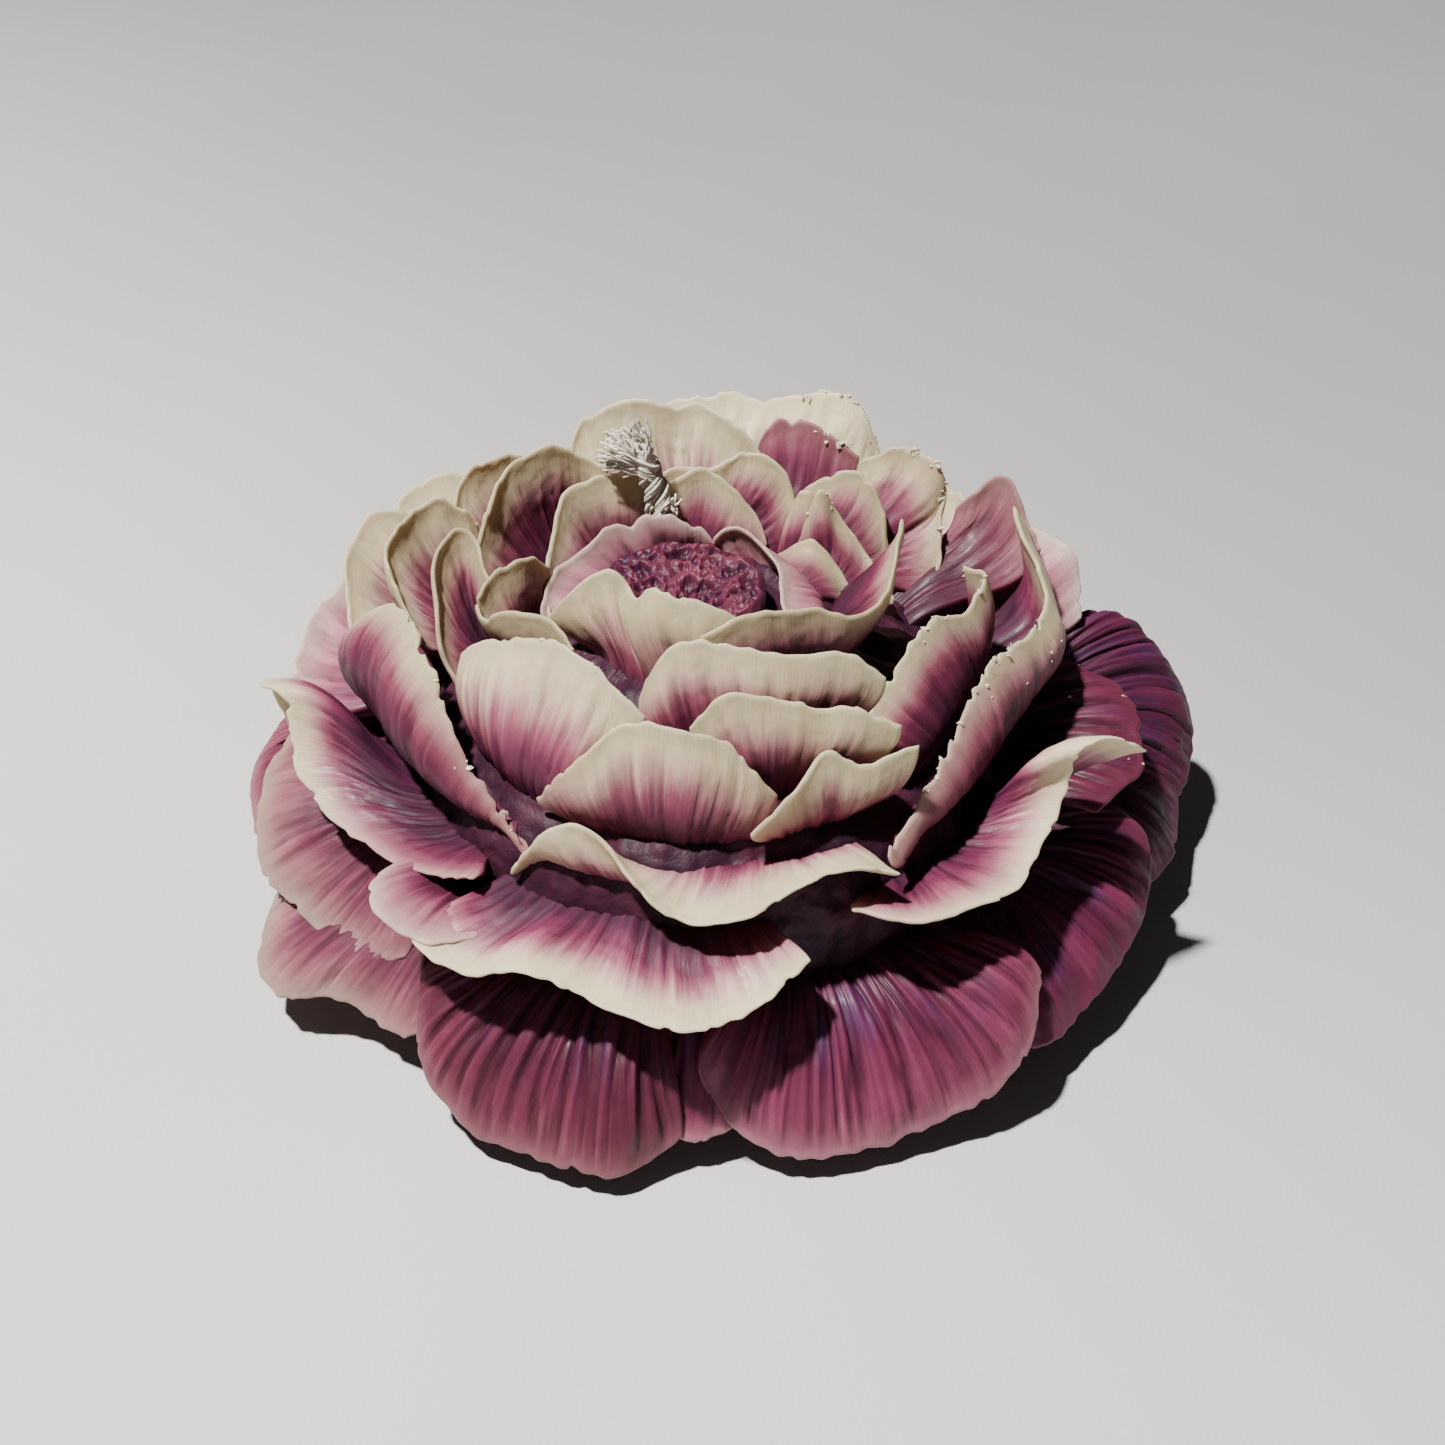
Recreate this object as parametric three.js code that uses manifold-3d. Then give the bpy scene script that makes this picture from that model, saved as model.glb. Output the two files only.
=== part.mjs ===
// A peony candle: wax petals rooted on a wax core, and a cotton wick that a steel tab holds.
// Millimetres, +Z up. The origin is on the table, under the middle of the flower.
import * as THREE from 'three';
import { mergeVertices } from 'three/addons/utils/BufferGeometryUtils.js';
import Module from 'manifold-3d';

const wasm = await Module();
wasm.setup();

// Driving dimensions
const flowerRadius = 55;
const flowerHeight = 54;
const rimThickness = 1.4;
const footThickness = 2.4;
const rootDepth = 1.2;
const waxGap = 0.3;
const rimStep = 7;
const heartHeight = 4;
const wickRadius = 1.7;
const wickUpright = 42;
const wickLean = [-2.2, 1, 8];
const wickHeadOffset = [-1.9, -0.2, 1.8];
const wickHeadRadius = 2.8;
const tabRadius = 8;
const tabThickness = 0.5;
const collarWall = 0.7;
const collarHeight = 7;
const cutOverrun = 2;

// Counts of facets
const petalRows = 4;
const leastColumns = 4;
const coreSides = 36;
const heartSides = 20;
const tabSides = 24;
const wickSides = 10;
const wickSteps = 10;

// Where each ring of petals is rooted on the core, as shares of the flower's radius and height
const tierShares = {
  low: [0.58, 0.26],
  base: [0.58, 0.34],
  skirt: [0.57, 0.42],
  outer: [0.53, 0.51],
  bowl: [0.48, 0.56],
  mid: [0.43, 0.6],
  cup: [0.38, 0.635],
  inner: [0.33, 0.665],
  bud: [0.28, 0.69],
  heart: [0.24, 0.71],
};
const seatShares = [0.2, 0.73];

// The heart fits inside the ring of heart petals, and the wick stands behind it: their places and
// the heart's radius, as shares of the flower's radius
const heartRadiusShare = 0.165;
const heartPlaceShares = [-0.045, 0];
const wickPlaceShares = [-0.08, 0.247];

// The wick's torn head is flattened like a flag: its reach along each axis, as shares of its radius
const wickHeadShares = [1.2, 0.65, 1.05];

// The heart's side, its edge and the hollow inside it, as shares of its radius and height
const heartShares = [[0.95, 0], [1, 0.5], [0.93, 1], [0.8, 0.9], [0.5, 0.66], [0, 0.55]];

// The petals, from the heart outwards. A rim point is an azimuth in degrees, then shares of the
// flower's radius and height. A foot is a span of azimuth on the core. A petal leaves its foot and
// arrives at its rim at angles above the outward level, in degrees. The belly share says how far the
// sheet bulges between them, as a share of the straight way from foot to rim.
const petals = [
  {
    name: 'heart_petal_front', look: 'cream', tier: 'heart', foot: [205, 285],
    leave: 95, arrive: [115, 115], bellyShare: 0.4,
    rimShares: [[196, 0.31, 0.8], [200, 0.28, 0.85], [203, 0.24, 0.895], [207, 0.2, 0.915],
      [216, 0.18, 0.895], [225, 0.19, 0.885], [236, 0.195, 0.905], [248, 0.2, 0.92], [263, 0.2, 0.915],
      [278, 0.21, 0.9], [291, 0.215, 0.86]],
  },
  {
    name: 'heart_petal_back', look: 'rose', tier: 'heart', foot: [182, 85],
    leave: 75, arrive: [78, 66], bellyShare: 0.4,
    rimShares: [[182, 0.32, 0.74], [170, 0.315, 0.775], [158, 0.3, 0.8], [146, 0.27, 0.82],
      [136, 0.25, 0.835], [129, 0.24, 0.825], [121, 0.235, 0.84], [112, 0.22, 0.84],
      [103, 0.205, 0.825], [94, 0.2, 0.815], [85, 0.19, 0.79]],
  },
  {
    name: 'heart_petal_right', look: 'rose', tier: 'heart', foot: [82, -20],
    leave: 75, arrive: [115, 125, 120], bellyShare: 0.4,
    rimShares: [[86, 0.2, 0.77], [80, 0.2, 0.8], [70, 0.195, 0.815], [58, 0.19, 0.8],
      [44, 0.175, 0.795], [28, 0.16, 0.8], [12, 0.15, 0.79], [-4, 0.15, 0.77], [-20, 0.16, 0.755],
      [-34, 0.175, 0.74]],
  },
  {
    name: 'bud_petal_right', look: 'cream', tier: 'heart', foot: [52, 14],
    leave: 60, arrive: [85, 85], bellyShare: 0.4,
    rimShares: [[60, 0.24, 0.71], [54, 0.26, 0.75], [43, 0.29, 0.79], [34, 0.32, 0.74],
      [22, 0.33, 0.68]],
  },
  {
    name: 'bud_petal_back_left', look: 'cream', tier: 'inner', foot: [170, 112],
    leave: 75, arrive: [80, 80], bellyShare: 0.4,
    rimShares: [[190, 0.31, 0.73], [160, 0.34, 0.78], [140, 0.38, 0.87], [129, 0.35, 0.89],
      [116, 0.32, 0.89], [106, 0.32, 0.85]],
  },
  {
    name: 'bud_petal_back', look: 'cream', tier: 'bud', foot: [106, 70],
    leave: 75, arrive: [82, 82], bellyShare: 0.4,
    rimShares: [[106, 0.31, 0.86], [92, 0.33, 0.87], [82, 0.33, 0.84], [74, 0.33, 0.79],
      [66, 0.31, 0.72]],
  },
  {
    name: 'bud_petal_front_right', look: 'cream', tier: 'bud', foot: [278, 368],
    leave: 85, arrive: [95, 95], bellyShare: 0.4,
    rimShares: [[268, 0.275, 0.885], [287, 0.268, 0.91], [305, 0.275, 0.9], [316, 0.29, 0.89],
      [326, 0.33, 0.86], [340, 0.35, 0.85], [353, 0.36, 0.87], [372, 0.39, 0.9]],
  },
  {
    name: 'curl_petal_left_back', look: 'cream', tier: 'cup', foot: [176, 190],
    leave: 80, arrive: [90, 90], bellyShare: 0.4,
    rimShares: [[166, 0.32, 0.8], [174, 0.35, 0.86], [181, 0.4, 0.84], [188, 0.44, 0.81]],
  },
  {
    name: 'curl_petal_left_front', look: 'cream', tier: 'inner', foot: [195, 222],
    leave: 80, arrive: [90, 90], bellyShare: 0.4,
    rimShares: [[186, 0.44, 0.8], [195, 0.43, 0.82], [203, 0.39, 0.85], [214, 0.35, 0.87],
      [227, 0.35, 0.84]],
  },
  {
    name: 'inner_petal_back', look: 'cream', tier: 'inner', foot: [106, 66],
    leave: 65, arrive: [88, 88], bellyShare: 0.4,
    rimShares: [[114, 0.36, 0.84], [98, 0.38, 0.85], [88, 0.38, 0.85], [80, 0.4, 0.87],
      [71, 0.4, 0.87], [64, 0.4, 0.82], [59, 0.36, 0.7]],
  },
  {
    name: 'blade_petal_right', look: 'cream', tier: 'inner', foot: [48, 22],
    leave: 60, arrive: [80, 80], bellyShare: 0.4,
    rimShares: [[54, 0.32, 0.74], [49, 0.35, 0.86], [44, 0.38, 0.8], [36, 0.41, 0.72],
      [22, 0.42, 0.66]],
  },
  {
    name: 'blade_petal_right_back', look: 'cream', tier: 'inner', foot: [61, 52],
    leave: 75, arrive: [80, 80], bellyShare: 0.4,
    rimShares: [[63, 0.35, 0.74], [57, 0.37, 0.84], [51, 0.38, 0.79]],
  },
  {
    name: 'inner_petal_front', look: 'cream', tier: 'cup', foot: [255, 306],
    leave: 80, arrive: [105, 105], bellyShare: 0.4,
    rimShares: [[248, 0.33, 0.77], [256, 0.33, 0.87], [270, 0.32, 0.91], [284, 0.35, 0.9],
      [297, 0.38, 0.89], [308, 0.42, 0.89], [314, 0.47, 0.84]],
  },
  {
    name: 'cup_petal_back_right', look: 'cream', tier: 'cup', foot: [62, 40],
    leave: 60, arrive: [88, 88], bellyShare: 0.4,
    rimShares: [[66, 0.45, 0.75], [58, 0.47, 0.82], [49, 0.49, 0.84], [42, 0.49, 0.77],
      [38, 0.49, 0.66]],
  },
  {
    name: 'crown_petal_back_left', look: 'cream', tier: 'cup', foot: [118, 80],
    leave: 55, arrive: [88, 88], bellyShare: 0.4,
    rimShares: [[124, 0.54, 0.8], [118, 0.55, 0.9], [111, 0.53, 0.94], [104, 0.51, 0.94],
      [98, 0.5, 0.92], [92, 0.49, 0.93], [82, 0.47, 0.9], [74, 0.45, 0.82]],
  },
  {
    name: 'mid_petal_front', look: 'cream', tier: 'mid', foot: [272, 306],
    leave: 70, arrive: [98, 98], bellyShare: 0.4,
    rimShares: [[266, 0.38, 0.76], [276, 0.38, 0.83], [288, 0.41, 0.82], [299, 0.44, 0.8],
      [304, 0.47, 0.81], [312, 0.53, 0.77]],
  },
  {
    name: 'blade_petal_left', look: 'cream', tier: 'mid', foot: [194, 174],
    leave: 50, arrive: [92, 92], bellyShare: 0.4,
    rimShares: [[197, 0.5, 0.66], [188, 0.52, 0.74], [176, 0.53, 0.82], [167, 0.51, 0.86],
      [166, 0.47, 0.84], [172, 0.43, 0.78], [178, 0.4, 0.72]],
  },
  {
    name: 'mid_petal_back_left', look: 'cream', tier: 'mid', foot: [156, 122],
    leave: 50, arrive: [90, 90], bellyShare: 0.4,
    rimShares: [[160, 0.52, 0.68], [154, 0.51, 0.8], [146, 0.51, 0.87], [134, 0.49, 0.91],
      [124, 0.47, 0.87], [118, 0.44, 0.84]],
  },
  {
    name: 'blush_petal_back', look: 'rose', tier: 'mid', foot: [78, 60],
    leave: 50, arrive: [85, 85], bellyShare: 0.4,
    rimShares: [[80, 0.55, 0.78], [76, 0.56, 0.86], [71, 0.57, 0.87], [65, 0.58, 0.85],
      [57, 0.6, 0.8]],
  },
  {
    name: 'mid_petal_back_right', look: 'cream', tier: 'mid', foot: [56, 38],
    leave: 50, arrive: [88, 88], bellyShare: 0.4,
    rimShares: [[57.5, 0.6, 0.78], [52, 0.6, 0.83], [47, 0.62, 0.85], [39, 0.62, 0.86],
      [37, 0.63, 0.8], [35.5, 0.61, 0.755], [33, 0.59, 0.71], [31, 0.57, 0.66], [29, 0.53, 0.63]],
  },
  {
    name: 'mid_petal_right', look: 'cream', tier: 'bowl', foot: [318, 366],
    leave: 35, arrive: [135, 105], bellyShare: 0.55,
    rimShares: [[312, 0.44, 0.62], [317, 0.41, 0.7], [326, 0.4, 0.74], [337, 0.41, 0.78],
      [348, 0.43, 0.78], [356, 0.48, 0.76], [361, 0.52, 0.76], [367, 0.55, 0.79], [373, 0.53, 0.78]],
  },
  {
    name: 'bowl_petal_front_left', look: 'cream', tier: 'bowl', foot: [238, 280],
    leave: 45, arrive: [98, 98], bellyShare: 0.4,
    rimShares: [[232, 0.5, 0.6], [241, 0.49, 0.71], [248, 0.46, 0.78], [255, 0.45, 0.8],
      [266, 0.45, 0.8], [275, 0.45, 0.78], [280, 0.46, 0.72], [286, 0.48, 0.66]],
  },
  {
    name: 'bowl_petal_front_right', look: 'cream', tier: 'bowl', foot: [284, 308],
    leave: 45, arrive: [95, 95], bellyShare: 0.4,
    rimShares: [[279, 0.53, 0.62], [288, 0.515, 0.69], [296, 0.49, 0.74], [303, 0.52, 0.7],
      [308, 0.54, 0.72], [314, 0.56, 0.73]],
  },
  {
    name: 'bowl_petal_left', look: 'cream', tier: 'bowl', foot: [206, 246],
    leave: 60, arrive: [105, 105], bellyShare: 0.4,
    rimShares: [[200, 0.49, 0.76], [204, 0.47, 0.81], [210, 0.44, 0.84], [218, 0.42, 0.87],
      [228, 0.39, 0.88], [241, 0.39, 0.86], [255, 0.4, 0.79]],
  },
  {
    name: 'bowl_petal_left_back', look: 'cream', tier: 'bowl', foot: [172, 152],
    leave: 45, arrive: [88, 88], bellyShare: 0.4,
    rimShares: [[178, 0.57, 0.66], [173, 0.62, 0.74], [167, 0.66, 0.8], [158, 0.65, 0.83],
      [152, 0.6, 0.83], [148, 0.56, 0.76]],
  },
  {
    name: 'bowl_petal_back_left', look: 'cream', tier: 'bowl', foot: [146, 122],
    leave: 45, arrive: [88, 88], bellyShare: 0.4,
    rimShares: [[148, 0.64, 0.72], [142, 0.65, 0.81], [134, 0.65, 0.82], [126, 0.64, 0.79],
      [120, 0.6, 0.74]],
  },
  {
    name: 'crown_petal_back', look: 'cream', tier: 'bowl', foot: [100, 62],
    leave: 45, arrive: [62, 62], bellyShare: 0.4,
    rimShares: [[104, 0.68, 0.8], [94, 0.69, 0.84], [86, 0.7, 0.85], [78, 0.69, 0.85],
      [67, 0.69, 0.88], [61, 0.69, 0.86], [56, 0.68, 0.76]],
  },
  {
    name: 'bowl_petal_back_right', look: 'rose', tier: 'bowl', foot: [38, 22],
    leave: 40, arrive: [82, 82], bellyShare: 0.4,
    rimShares: [[36, 0.65, 0.74], [34, 0.68, 0.78], [33, 0.72, 0.81], [31, 0.74, 0.81],
      [27, 0.75, 0.76], [22, 0.75, 0.7]],
  },
  {
    name: 'outer_petal_right', look: 'cream', tier: 'outer', foot: [310, 380],
    leave: 15, arrive: [115, 125, 118], bellyShare: 0.6,
    rimShares: [[304, 0.61, 0.55], [307, 0.59, 0.555], [316, 0.56, 0.59], [326, 0.55, 0.63],
      [336, 0.54, 0.68], [348, 0.56, 0.7], [357, 0.61, 0.7], [366, 0.69, 0.69], [374, 0.69, 0.73],
      [380, 0.69, 0.77], [385, 0.7, 0.8]],
  },
  {
    name: 'outer_petal_left', look: 'cream', tier: 'outer', foot: [184, 228],
    leave: 15, arrive: [132, 145], bellyShare: 0.6,
    rimShares: [[172, 0.7, 0.64], [176, 0.68, 0.71], [179, 0.63, 0.75], [185, 0.57, 0.78],
      [193, 0.55, 0.77], [201, 0.54, 0.74], [208, 0.55, 0.67], [220, 0.55, 0.59], [235, 0.54, 0.5]],
  },
  {
    name: 'outer_petal_left_back', look: 'cream', tier: 'outer', foot: [172, 150],
    leave: 40, arrive: [66, 66], bellyShare: 0.4,
    rimShares: [[177, 0.72, 0.55], [173, 0.74, 0.62], [165, 0.77, 0.71], [158, 0.78, 0.76],
      [152, 0.76, 0.76], [146, 0.72, 0.7]],
  },
  {
    name: 'outer_petal_back_left', look: 'cream', tier: 'outer', foot: [148, 130],
    leave: 40, arrive: [60, 60], bellyShare: 0.4,
    rimShares: [[152, 0.8, 0.64], [148, 0.81, 0.69], [142, 0.82, 0.71], [136, 0.8, 0.72],
      [128, 0.76, 0.7]],
  },
  {
    name: 'outer_petal_back', look: 'cream', tier: 'outer', foot: [130, 100],
    leave: 40, arrive: [80, 80], bellyShare: 0.4,
    rimShares: [[132, 0.7, 0.62], [124, 0.76, 0.69], [113, 0.78, 0.7], [102, 0.76, 0.68],
      [96, 0.7, 0.6]],
  },
  {
    name: 'outer_petal_back_right', look: 'cream', tier: 'outer', foot: [64, 40],
    leave: 40, arrive: [80, 80], bellyShare: 0.4,
    rimShares: [[66, 0.7, 0.6], [58, 0.76, 0.67], [48, 0.78, 0.68], [40, 0.77, 0.66],
      [35, 0.73, 0.58]],
  },
  {
    name: 'skirt_petal_front', look: 'cream', tier: 'outer', foot: [234, 302],
    leave: 15, arrive: [95, 100, 40, 5, 15, 30], bellyShare: 0.4,
    rimShares: [[232, 0.59, 0.47], [236, 0.575, 0.55], [241, 0.57, 0.61], [246, 0.57, 0.635],
      [251, 0.57, 0.61], [257, 0.595, 0.565], [264, 0.63, 0.52], [270, 0.65, 0.51], [277, 0.645, 0.53],
      [284, 0.635, 0.555], [291, 0.63, 0.575], [297, 0.635, 0.57], [303, 0.65, 0.54]],
  },
  {
    name: 'skirt_petal_left', look: 'cream', tier: 'skirt', foot: [188, 224],
    leave: 5, arrive: [0, 0], bellyShare: 0.45,
    rimShares: [[185, 0.84, 0.49], [182.5, 0.865, 0.54], [182, 0.88, 0.59], [184.5, 0.88, 0.615],
      [187, 0.85, 0.615], [189, 0.83, 0.56], [192, 0.83, 0.5], [198, 0.8, 0.46], [205, 0.76, 0.44],
      [212, 0.72, 0.43], [220, 0.69, 0.44], [229, 0.65, 0.48]],
  },
  {
    name: 'skirt_petal_left_back', look: 'rose', tier: 'skirt', foot: [172, 152],
    leave: 30, arrive: [45, 45], bellyShare: 0.4,
    rimShares: [[177, 0.86, 0.47], [172, 0.88, 0.51], [165, 0.88, 0.54], [160, 0.87, 0.57],
      [152, 0.85, 0.58]],
  },
  {
    name: 'skirt_petal_back_left', look: 'cream', tier: 'skirt', foot: [146, 104],
    leave: 25, arrive: [35, 35], bellyShare: 0.4,
    rimShares: [[151, 0.8, 0.5], [143, 0.87, 0.55], [131, 0.9, 0.56], [119, 0.91, 0.58],
      [107, 0.88, 0.54], [99, 0.8, 0.48]],
  },
  {
    name: 'skirt_petal_back', look: 'cream', tier: 'skirt', foot: [100, 62],
    leave: 25, arrive: [35, 35], bellyShare: 0.4,
    rimShares: [[104, 0.8, 0.5], [96, 0.87, 0.55], [86, 0.91, 0.55], [74, 0.91, 0.58],
      [62, 0.87, 0.56], [55, 0.8, 0.5]],
  },
  {
    name: 'skirt_petal_back_right', look: 'rose', tier: 'skirt', foot: [56, 26],
    leave: 30, arrive: [45, 45], bellyShare: 0.4,
    rimShares: [[60, 0.76, 0.52], [52, 0.84, 0.58], [42, 0.85, 0.61], [33, 0.86, 0.64],
      [27, 0.87, 0.64], [24, 0.88, 0.58], [21, 0.86, 0.5]],
  },
  {
    name: 'skirt_petal_right', look: 'plum', tier: 'base', foot: [-10, 16],
    leave: 25, arrive: [-10, -10], bellyShare: 0.4,
    rimShares: [[-14, 0.8, 0.38], [-8, 0.87, 0.4], [-2, 0.9, 0.41], [4, 0.89, 0.44], [10, 0.87, 0.45],
      [18, 0.8, 0.45]],
  },
  {
    name: 'skirt_petal_front_right', look: 'cream', tier: 'skirt', foot: [302, 344],
    leave: 0, arrive: [15, 15], bellyShare: 0.4,
    rimShares: [[295, 0.64, 0.48], [303, 0.72, 0.47], [314, 0.75, 0.46], [323, 0.76, 0.46],
      [332, 0.75, 0.48], [336, 0.75, 0.55], [336, 0.77, 0.64], [340, 0.82, 0.65], [345, 0.88, 0.58]],
  },
  {
    name: 'skirt_petal_front_left', look: 'cream', tier: 'skirt', foot: [229, 282],
    leave: 0, arrive: [5, 5], bellyShare: 0.4,
    rimShares: [[225, 0.74, 0.4], [228, 0.8, 0.41], [236, 0.79, 0.39], [244, 0.77, 0.43],
      [253, 0.75, 0.41], [261, 0.78, 0.39], [268, 0.79, 0.385], [275, 0.76, 0.39], [281, 0.73, 0.42],
      [286, 0.69, 0.44]],
  },
  {
    name: 'skirt_petal_side_left', look: 'rose', tier: 'base', foot: [212, 226],
    leave: 15, arrive: [-5, -5], bellyShare: 0.4,
    rimShares: [[213, 0.7, 0.43], [217, 0.77, 0.445], [220, 0.81, 0.45], [224, 0.82, 0.435],
      [228, 0.8, 0.42], [231, 0.77, 0.415], [234, 0.71, 0.41]],
  },
  {
    name: 'base_petal_left', look: 'rose', tier: 'base', foot: [182, 212],
    leave: 20, arrive: [-30, -30], bellyShare: 0.4,
    rimShares: [[176, 0.84, 0.42], [181, 0.9, 0.38], [188, 0.92, 0.33], [194, 0.93, 0.28],
      [199, 0.9, 0.24], [205, 0.85, 0.22], [211, 0.81, 0.2], [217, 0.74, 0.22]],
  },
  {
    name: 'base_petal_left_back', look: 'plum', tier: 'base', foot: [176, 160],
    leave: 12, arrive: [-45, -45], bellyShare: 0.4,
    rimShares: [[188, 0.88, 0.2], [184, 0.94, 0.18], [179, 0.98, 0.21], [175, 0.98, 0.26],
      [172, 0.94, 0.32], [164, 0.88, 0.36]],
  },
  {
    name: 'base_petal_back_left', look: 'plum', tier: 'base', foot: [150, 112],
    leave: 12, arrive: [-50, -50], bellyShare: 0.4,
    rimShares: [[156, 0.88, 0.28], [149, 0.95, 0.17], [140, 0.98, 0.12], [128, 1, 0.12],
      [116, 0.96, 0.19], [108, 0.88, 0.3]],
  },
  {
    name: 'base_petal_back_right', look: 'plum', tier: 'base', foot: [66, 32],
    leave: 12, arrive: [-50, -50], bellyShare: 0.4,
    rimShares: [[70, 0.9, 0.22], [62, 0.99, 0.13], [50, 1.02, 0.11], [38, 1.02, 0.15],
      [31, 0.98, 0.24], [27, 0.9, 0.36]],
  },
  {
    name: 'base_petal_right', look: 'plum', tier: 'low', foot: [-2, 22],
    leave: 25, arrive: [-50, -50], bellyShare: 0.4,
    rimShares: [[-10, 0.92, 0.12], [-4, 0.99, 0.13], [3, 1.02, 0.15], [10, 1.08, 0.19],
      [14, 1.11, 0.25], [19, 1.1, 0.33], [22, 1.04, 0.4], [24, 0.95, 0.44], [24, 0.85, 0.44]],
  },
  {
    name: 'base_petal_front_right', look: 'plum', tier: 'low', foot: [276, 314],
    leave: 25, arrive: [-60, -60], bellyShare: 0.4,
    rimShares: [[269, 0.72, 0.22], [271, 0.745, 0.145], [275, 0.785, 0.095], [281, 0.825, 0.06],
      [288, 0.835, 0.055], [295, 0.845, 0.06], [303, 0.865, 0.08], [309, 0.885, 0.12],
      [314, 0.88, 0.18], [321, 0.82, 0.26]],
  },
  {
    name: 'base_petal_front_left', look: 'plum', tier: 'low', foot: [232, 262],
    leave: 20, arrive: [-60, -60], bellyShare: 0.4,
    rimShares: [[225, 0.76, 0.27], [227, 0.81, 0.19], [232, 0.845, 0.115], [238, 0.865, 0.07],
      [244, 0.865, 0.06], [253, 0.865, 0.055], [259, 0.865, 0.055], [263, 0.825, 0.06],
      [267, 0.78, 0.1]],
  },
  {
    name: 'low_petal_left', look: 'rose', tier: 'low', foot: [198, 222],
    leave: 0, arrive: [-40, -40], bellyShare: 0.4,
    rimShares: [[192, 0.9, 0.19], [198, 0.94, 0.16], [203, 0.97, 0.12], [208, 0.95, 0.11],
      [212, 0.87, 0.13], [217, 0.83, 0.11], [223, 0.8, 0.11], [228, 0.74, 0.15]],
  },
  {
    name: 'low_petal_left_back', look: 'plum', tier: 'low', foot: [170, 150],
    leave: 8, arrive: [-45, -45], bellyShare: 0.4,
    rimShares: [[176, 0.88, 0.2], [168, 0.95, 0.14], [160, 0.95, 0.13], [153, 0.92, 0.18],
      [148, 0.84, 0.26]],
  },
  {
    name: 'low_petal_back', look: 'plum', tier: 'low', foot: [110, 68],
    leave: 8, arrive: [-50, -50], bellyShare: 0.4,
    rimShares: [[114, 0.88, 0.22], [108, 0.97, 0.12], [97, 1, 0.09], [84, 1.01, 0.09],
      [72, 0.97, 0.12], [64, 0.88, 0.22]],
  },
  {
    name: 'low_petal_right', look: 'plum', tier: 'low', foot: [322, 350],
    leave: 8, arrive: [-55, -55], bellyShare: 0.4,
    rimShares: [[314, 0.82, 0.12], [320, 0.87, 0.11], [328, 0.89, 0.12], [338, 0.92, 0.15],
      [346, 0.93, 0.2], [351, 0.91, 0.26], [352, 0.85, 0.3]],
  },
  {
    name: 'low_petal_front', look: 'plum', tier: 'low', foot: [264, 276],
    leave: -5, arrive: [-50, -50], bellyShare: 0.4,
    rimShares: [[262, 0.76, 0.11], [268, 0.78, 0.08], [274, 0.76, 0.08], [279, 0.73, 0.12]],
  },
];

// The wax of each kind of petal, and the other materials
const looks = {
  cream: { color: 0xe9dcc2, roughness: 0.45, metalness: 0 },
  rose: { color: 0xd79aa9, roughness: 0.45, metalness: 0 },
  plum: { color: 0x7b2f55, roughness: 0.4, metalness: 0 },
  core: { color: 0x3a1838, roughness: 0.5, metalness: 0 },
  heart: { color: 0x9a3358, roughness: 0.4, metalness: 0 },
  cotton: { color: 0xb9b5a8, roughness: 0.9, metalness: 0 },
  steel: { color: 0xb8babc, roughness: 0.35, metalness: 1 },
};

const up = new THREE.Vector3(0, 0, 1);
const seatHeight = seatShares[1] * flowerHeight;
const heartRadius = heartRadiusShare * flowerRadius;
const heartPlace = placeOf(heartPlaceShares);
const wickPlace = placeOf(wickPlaceShares);
const boreRadius = wickRadius + waxGap;
const collarRadius = boreRadius + collarWall;

// A place on the table, from its shares of the flower's radius
function placeOf([acrossShare, backShare]) {
  return { x: acrossShare * flowerRadius, y: backShare * flowerRadius };
}

// A point at an azimuth in degrees, a radius and a height
function pointAround(azimuth, radius, height) {
  const turn = THREE.MathUtils.degToRad(azimuth);
  return new THREE.Vector3(radius * Math.cos(turn), radius * Math.sin(turn), height);
}

// The direction that is steepness degrees above the outward level at a point
function directionAt(point, steepness) {
  const rise = THREE.MathUtils.degToRad(steepness);
  const outward = new THREE.Vector3(point.x, point.y, 0).normalize();
  return outward.multiplyScalar(Math.cos(rise)).addScaledVector(up, Math.sin(rise));
}

// The value at a share of the way along a list of evenly spaced values
function valueAlong(values, share) {
  const place = share * (values.length - 1);
  const before = Math.min(Math.floor(place), values.length - 2);
  return THREE.MathUtils.lerp(values[before], values[before + 1], place - before);
}

// A closed solid from a list of points and a list of triangles
function solidOf(points, triangles) {
  const vertProperties = new Float32Array(points.flatMap((point) => point.toArray()));
  const triVerts = new Uint32Array(triangles.flat());
  return new wasm.Manifold(new wasm.Mesh({ numProp: 3, vertProperties, triVerts }));
}

// A three.js geometry as a solid, with its shared corners joined
function solidOfGeometry(geometry) {
  const bare = new THREE.BufferGeometry().setAttribute('position', geometry.getAttribute('position'));
  bare.setIndex(geometry.getIndex());
  const joined = mergeVertices(bare);
  const vertProperties = new Float32Array(joined.getAttribute('position').array);
  const triVerts = new Uint32Array(joined.getIndex().array);
  return new wasm.Manifold(new wasm.Mesh({ numProp: 3, vertProperties, triVerts }));
}

// The largest body of a solid, so that no chip is left where a neighbour cuts off a corner
function largestBody(solid) {
  const bodies = solid.decompose();
  return bodies.reduce((best, body) => (body.volume() > best.volume() ? body : best));
}

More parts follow.
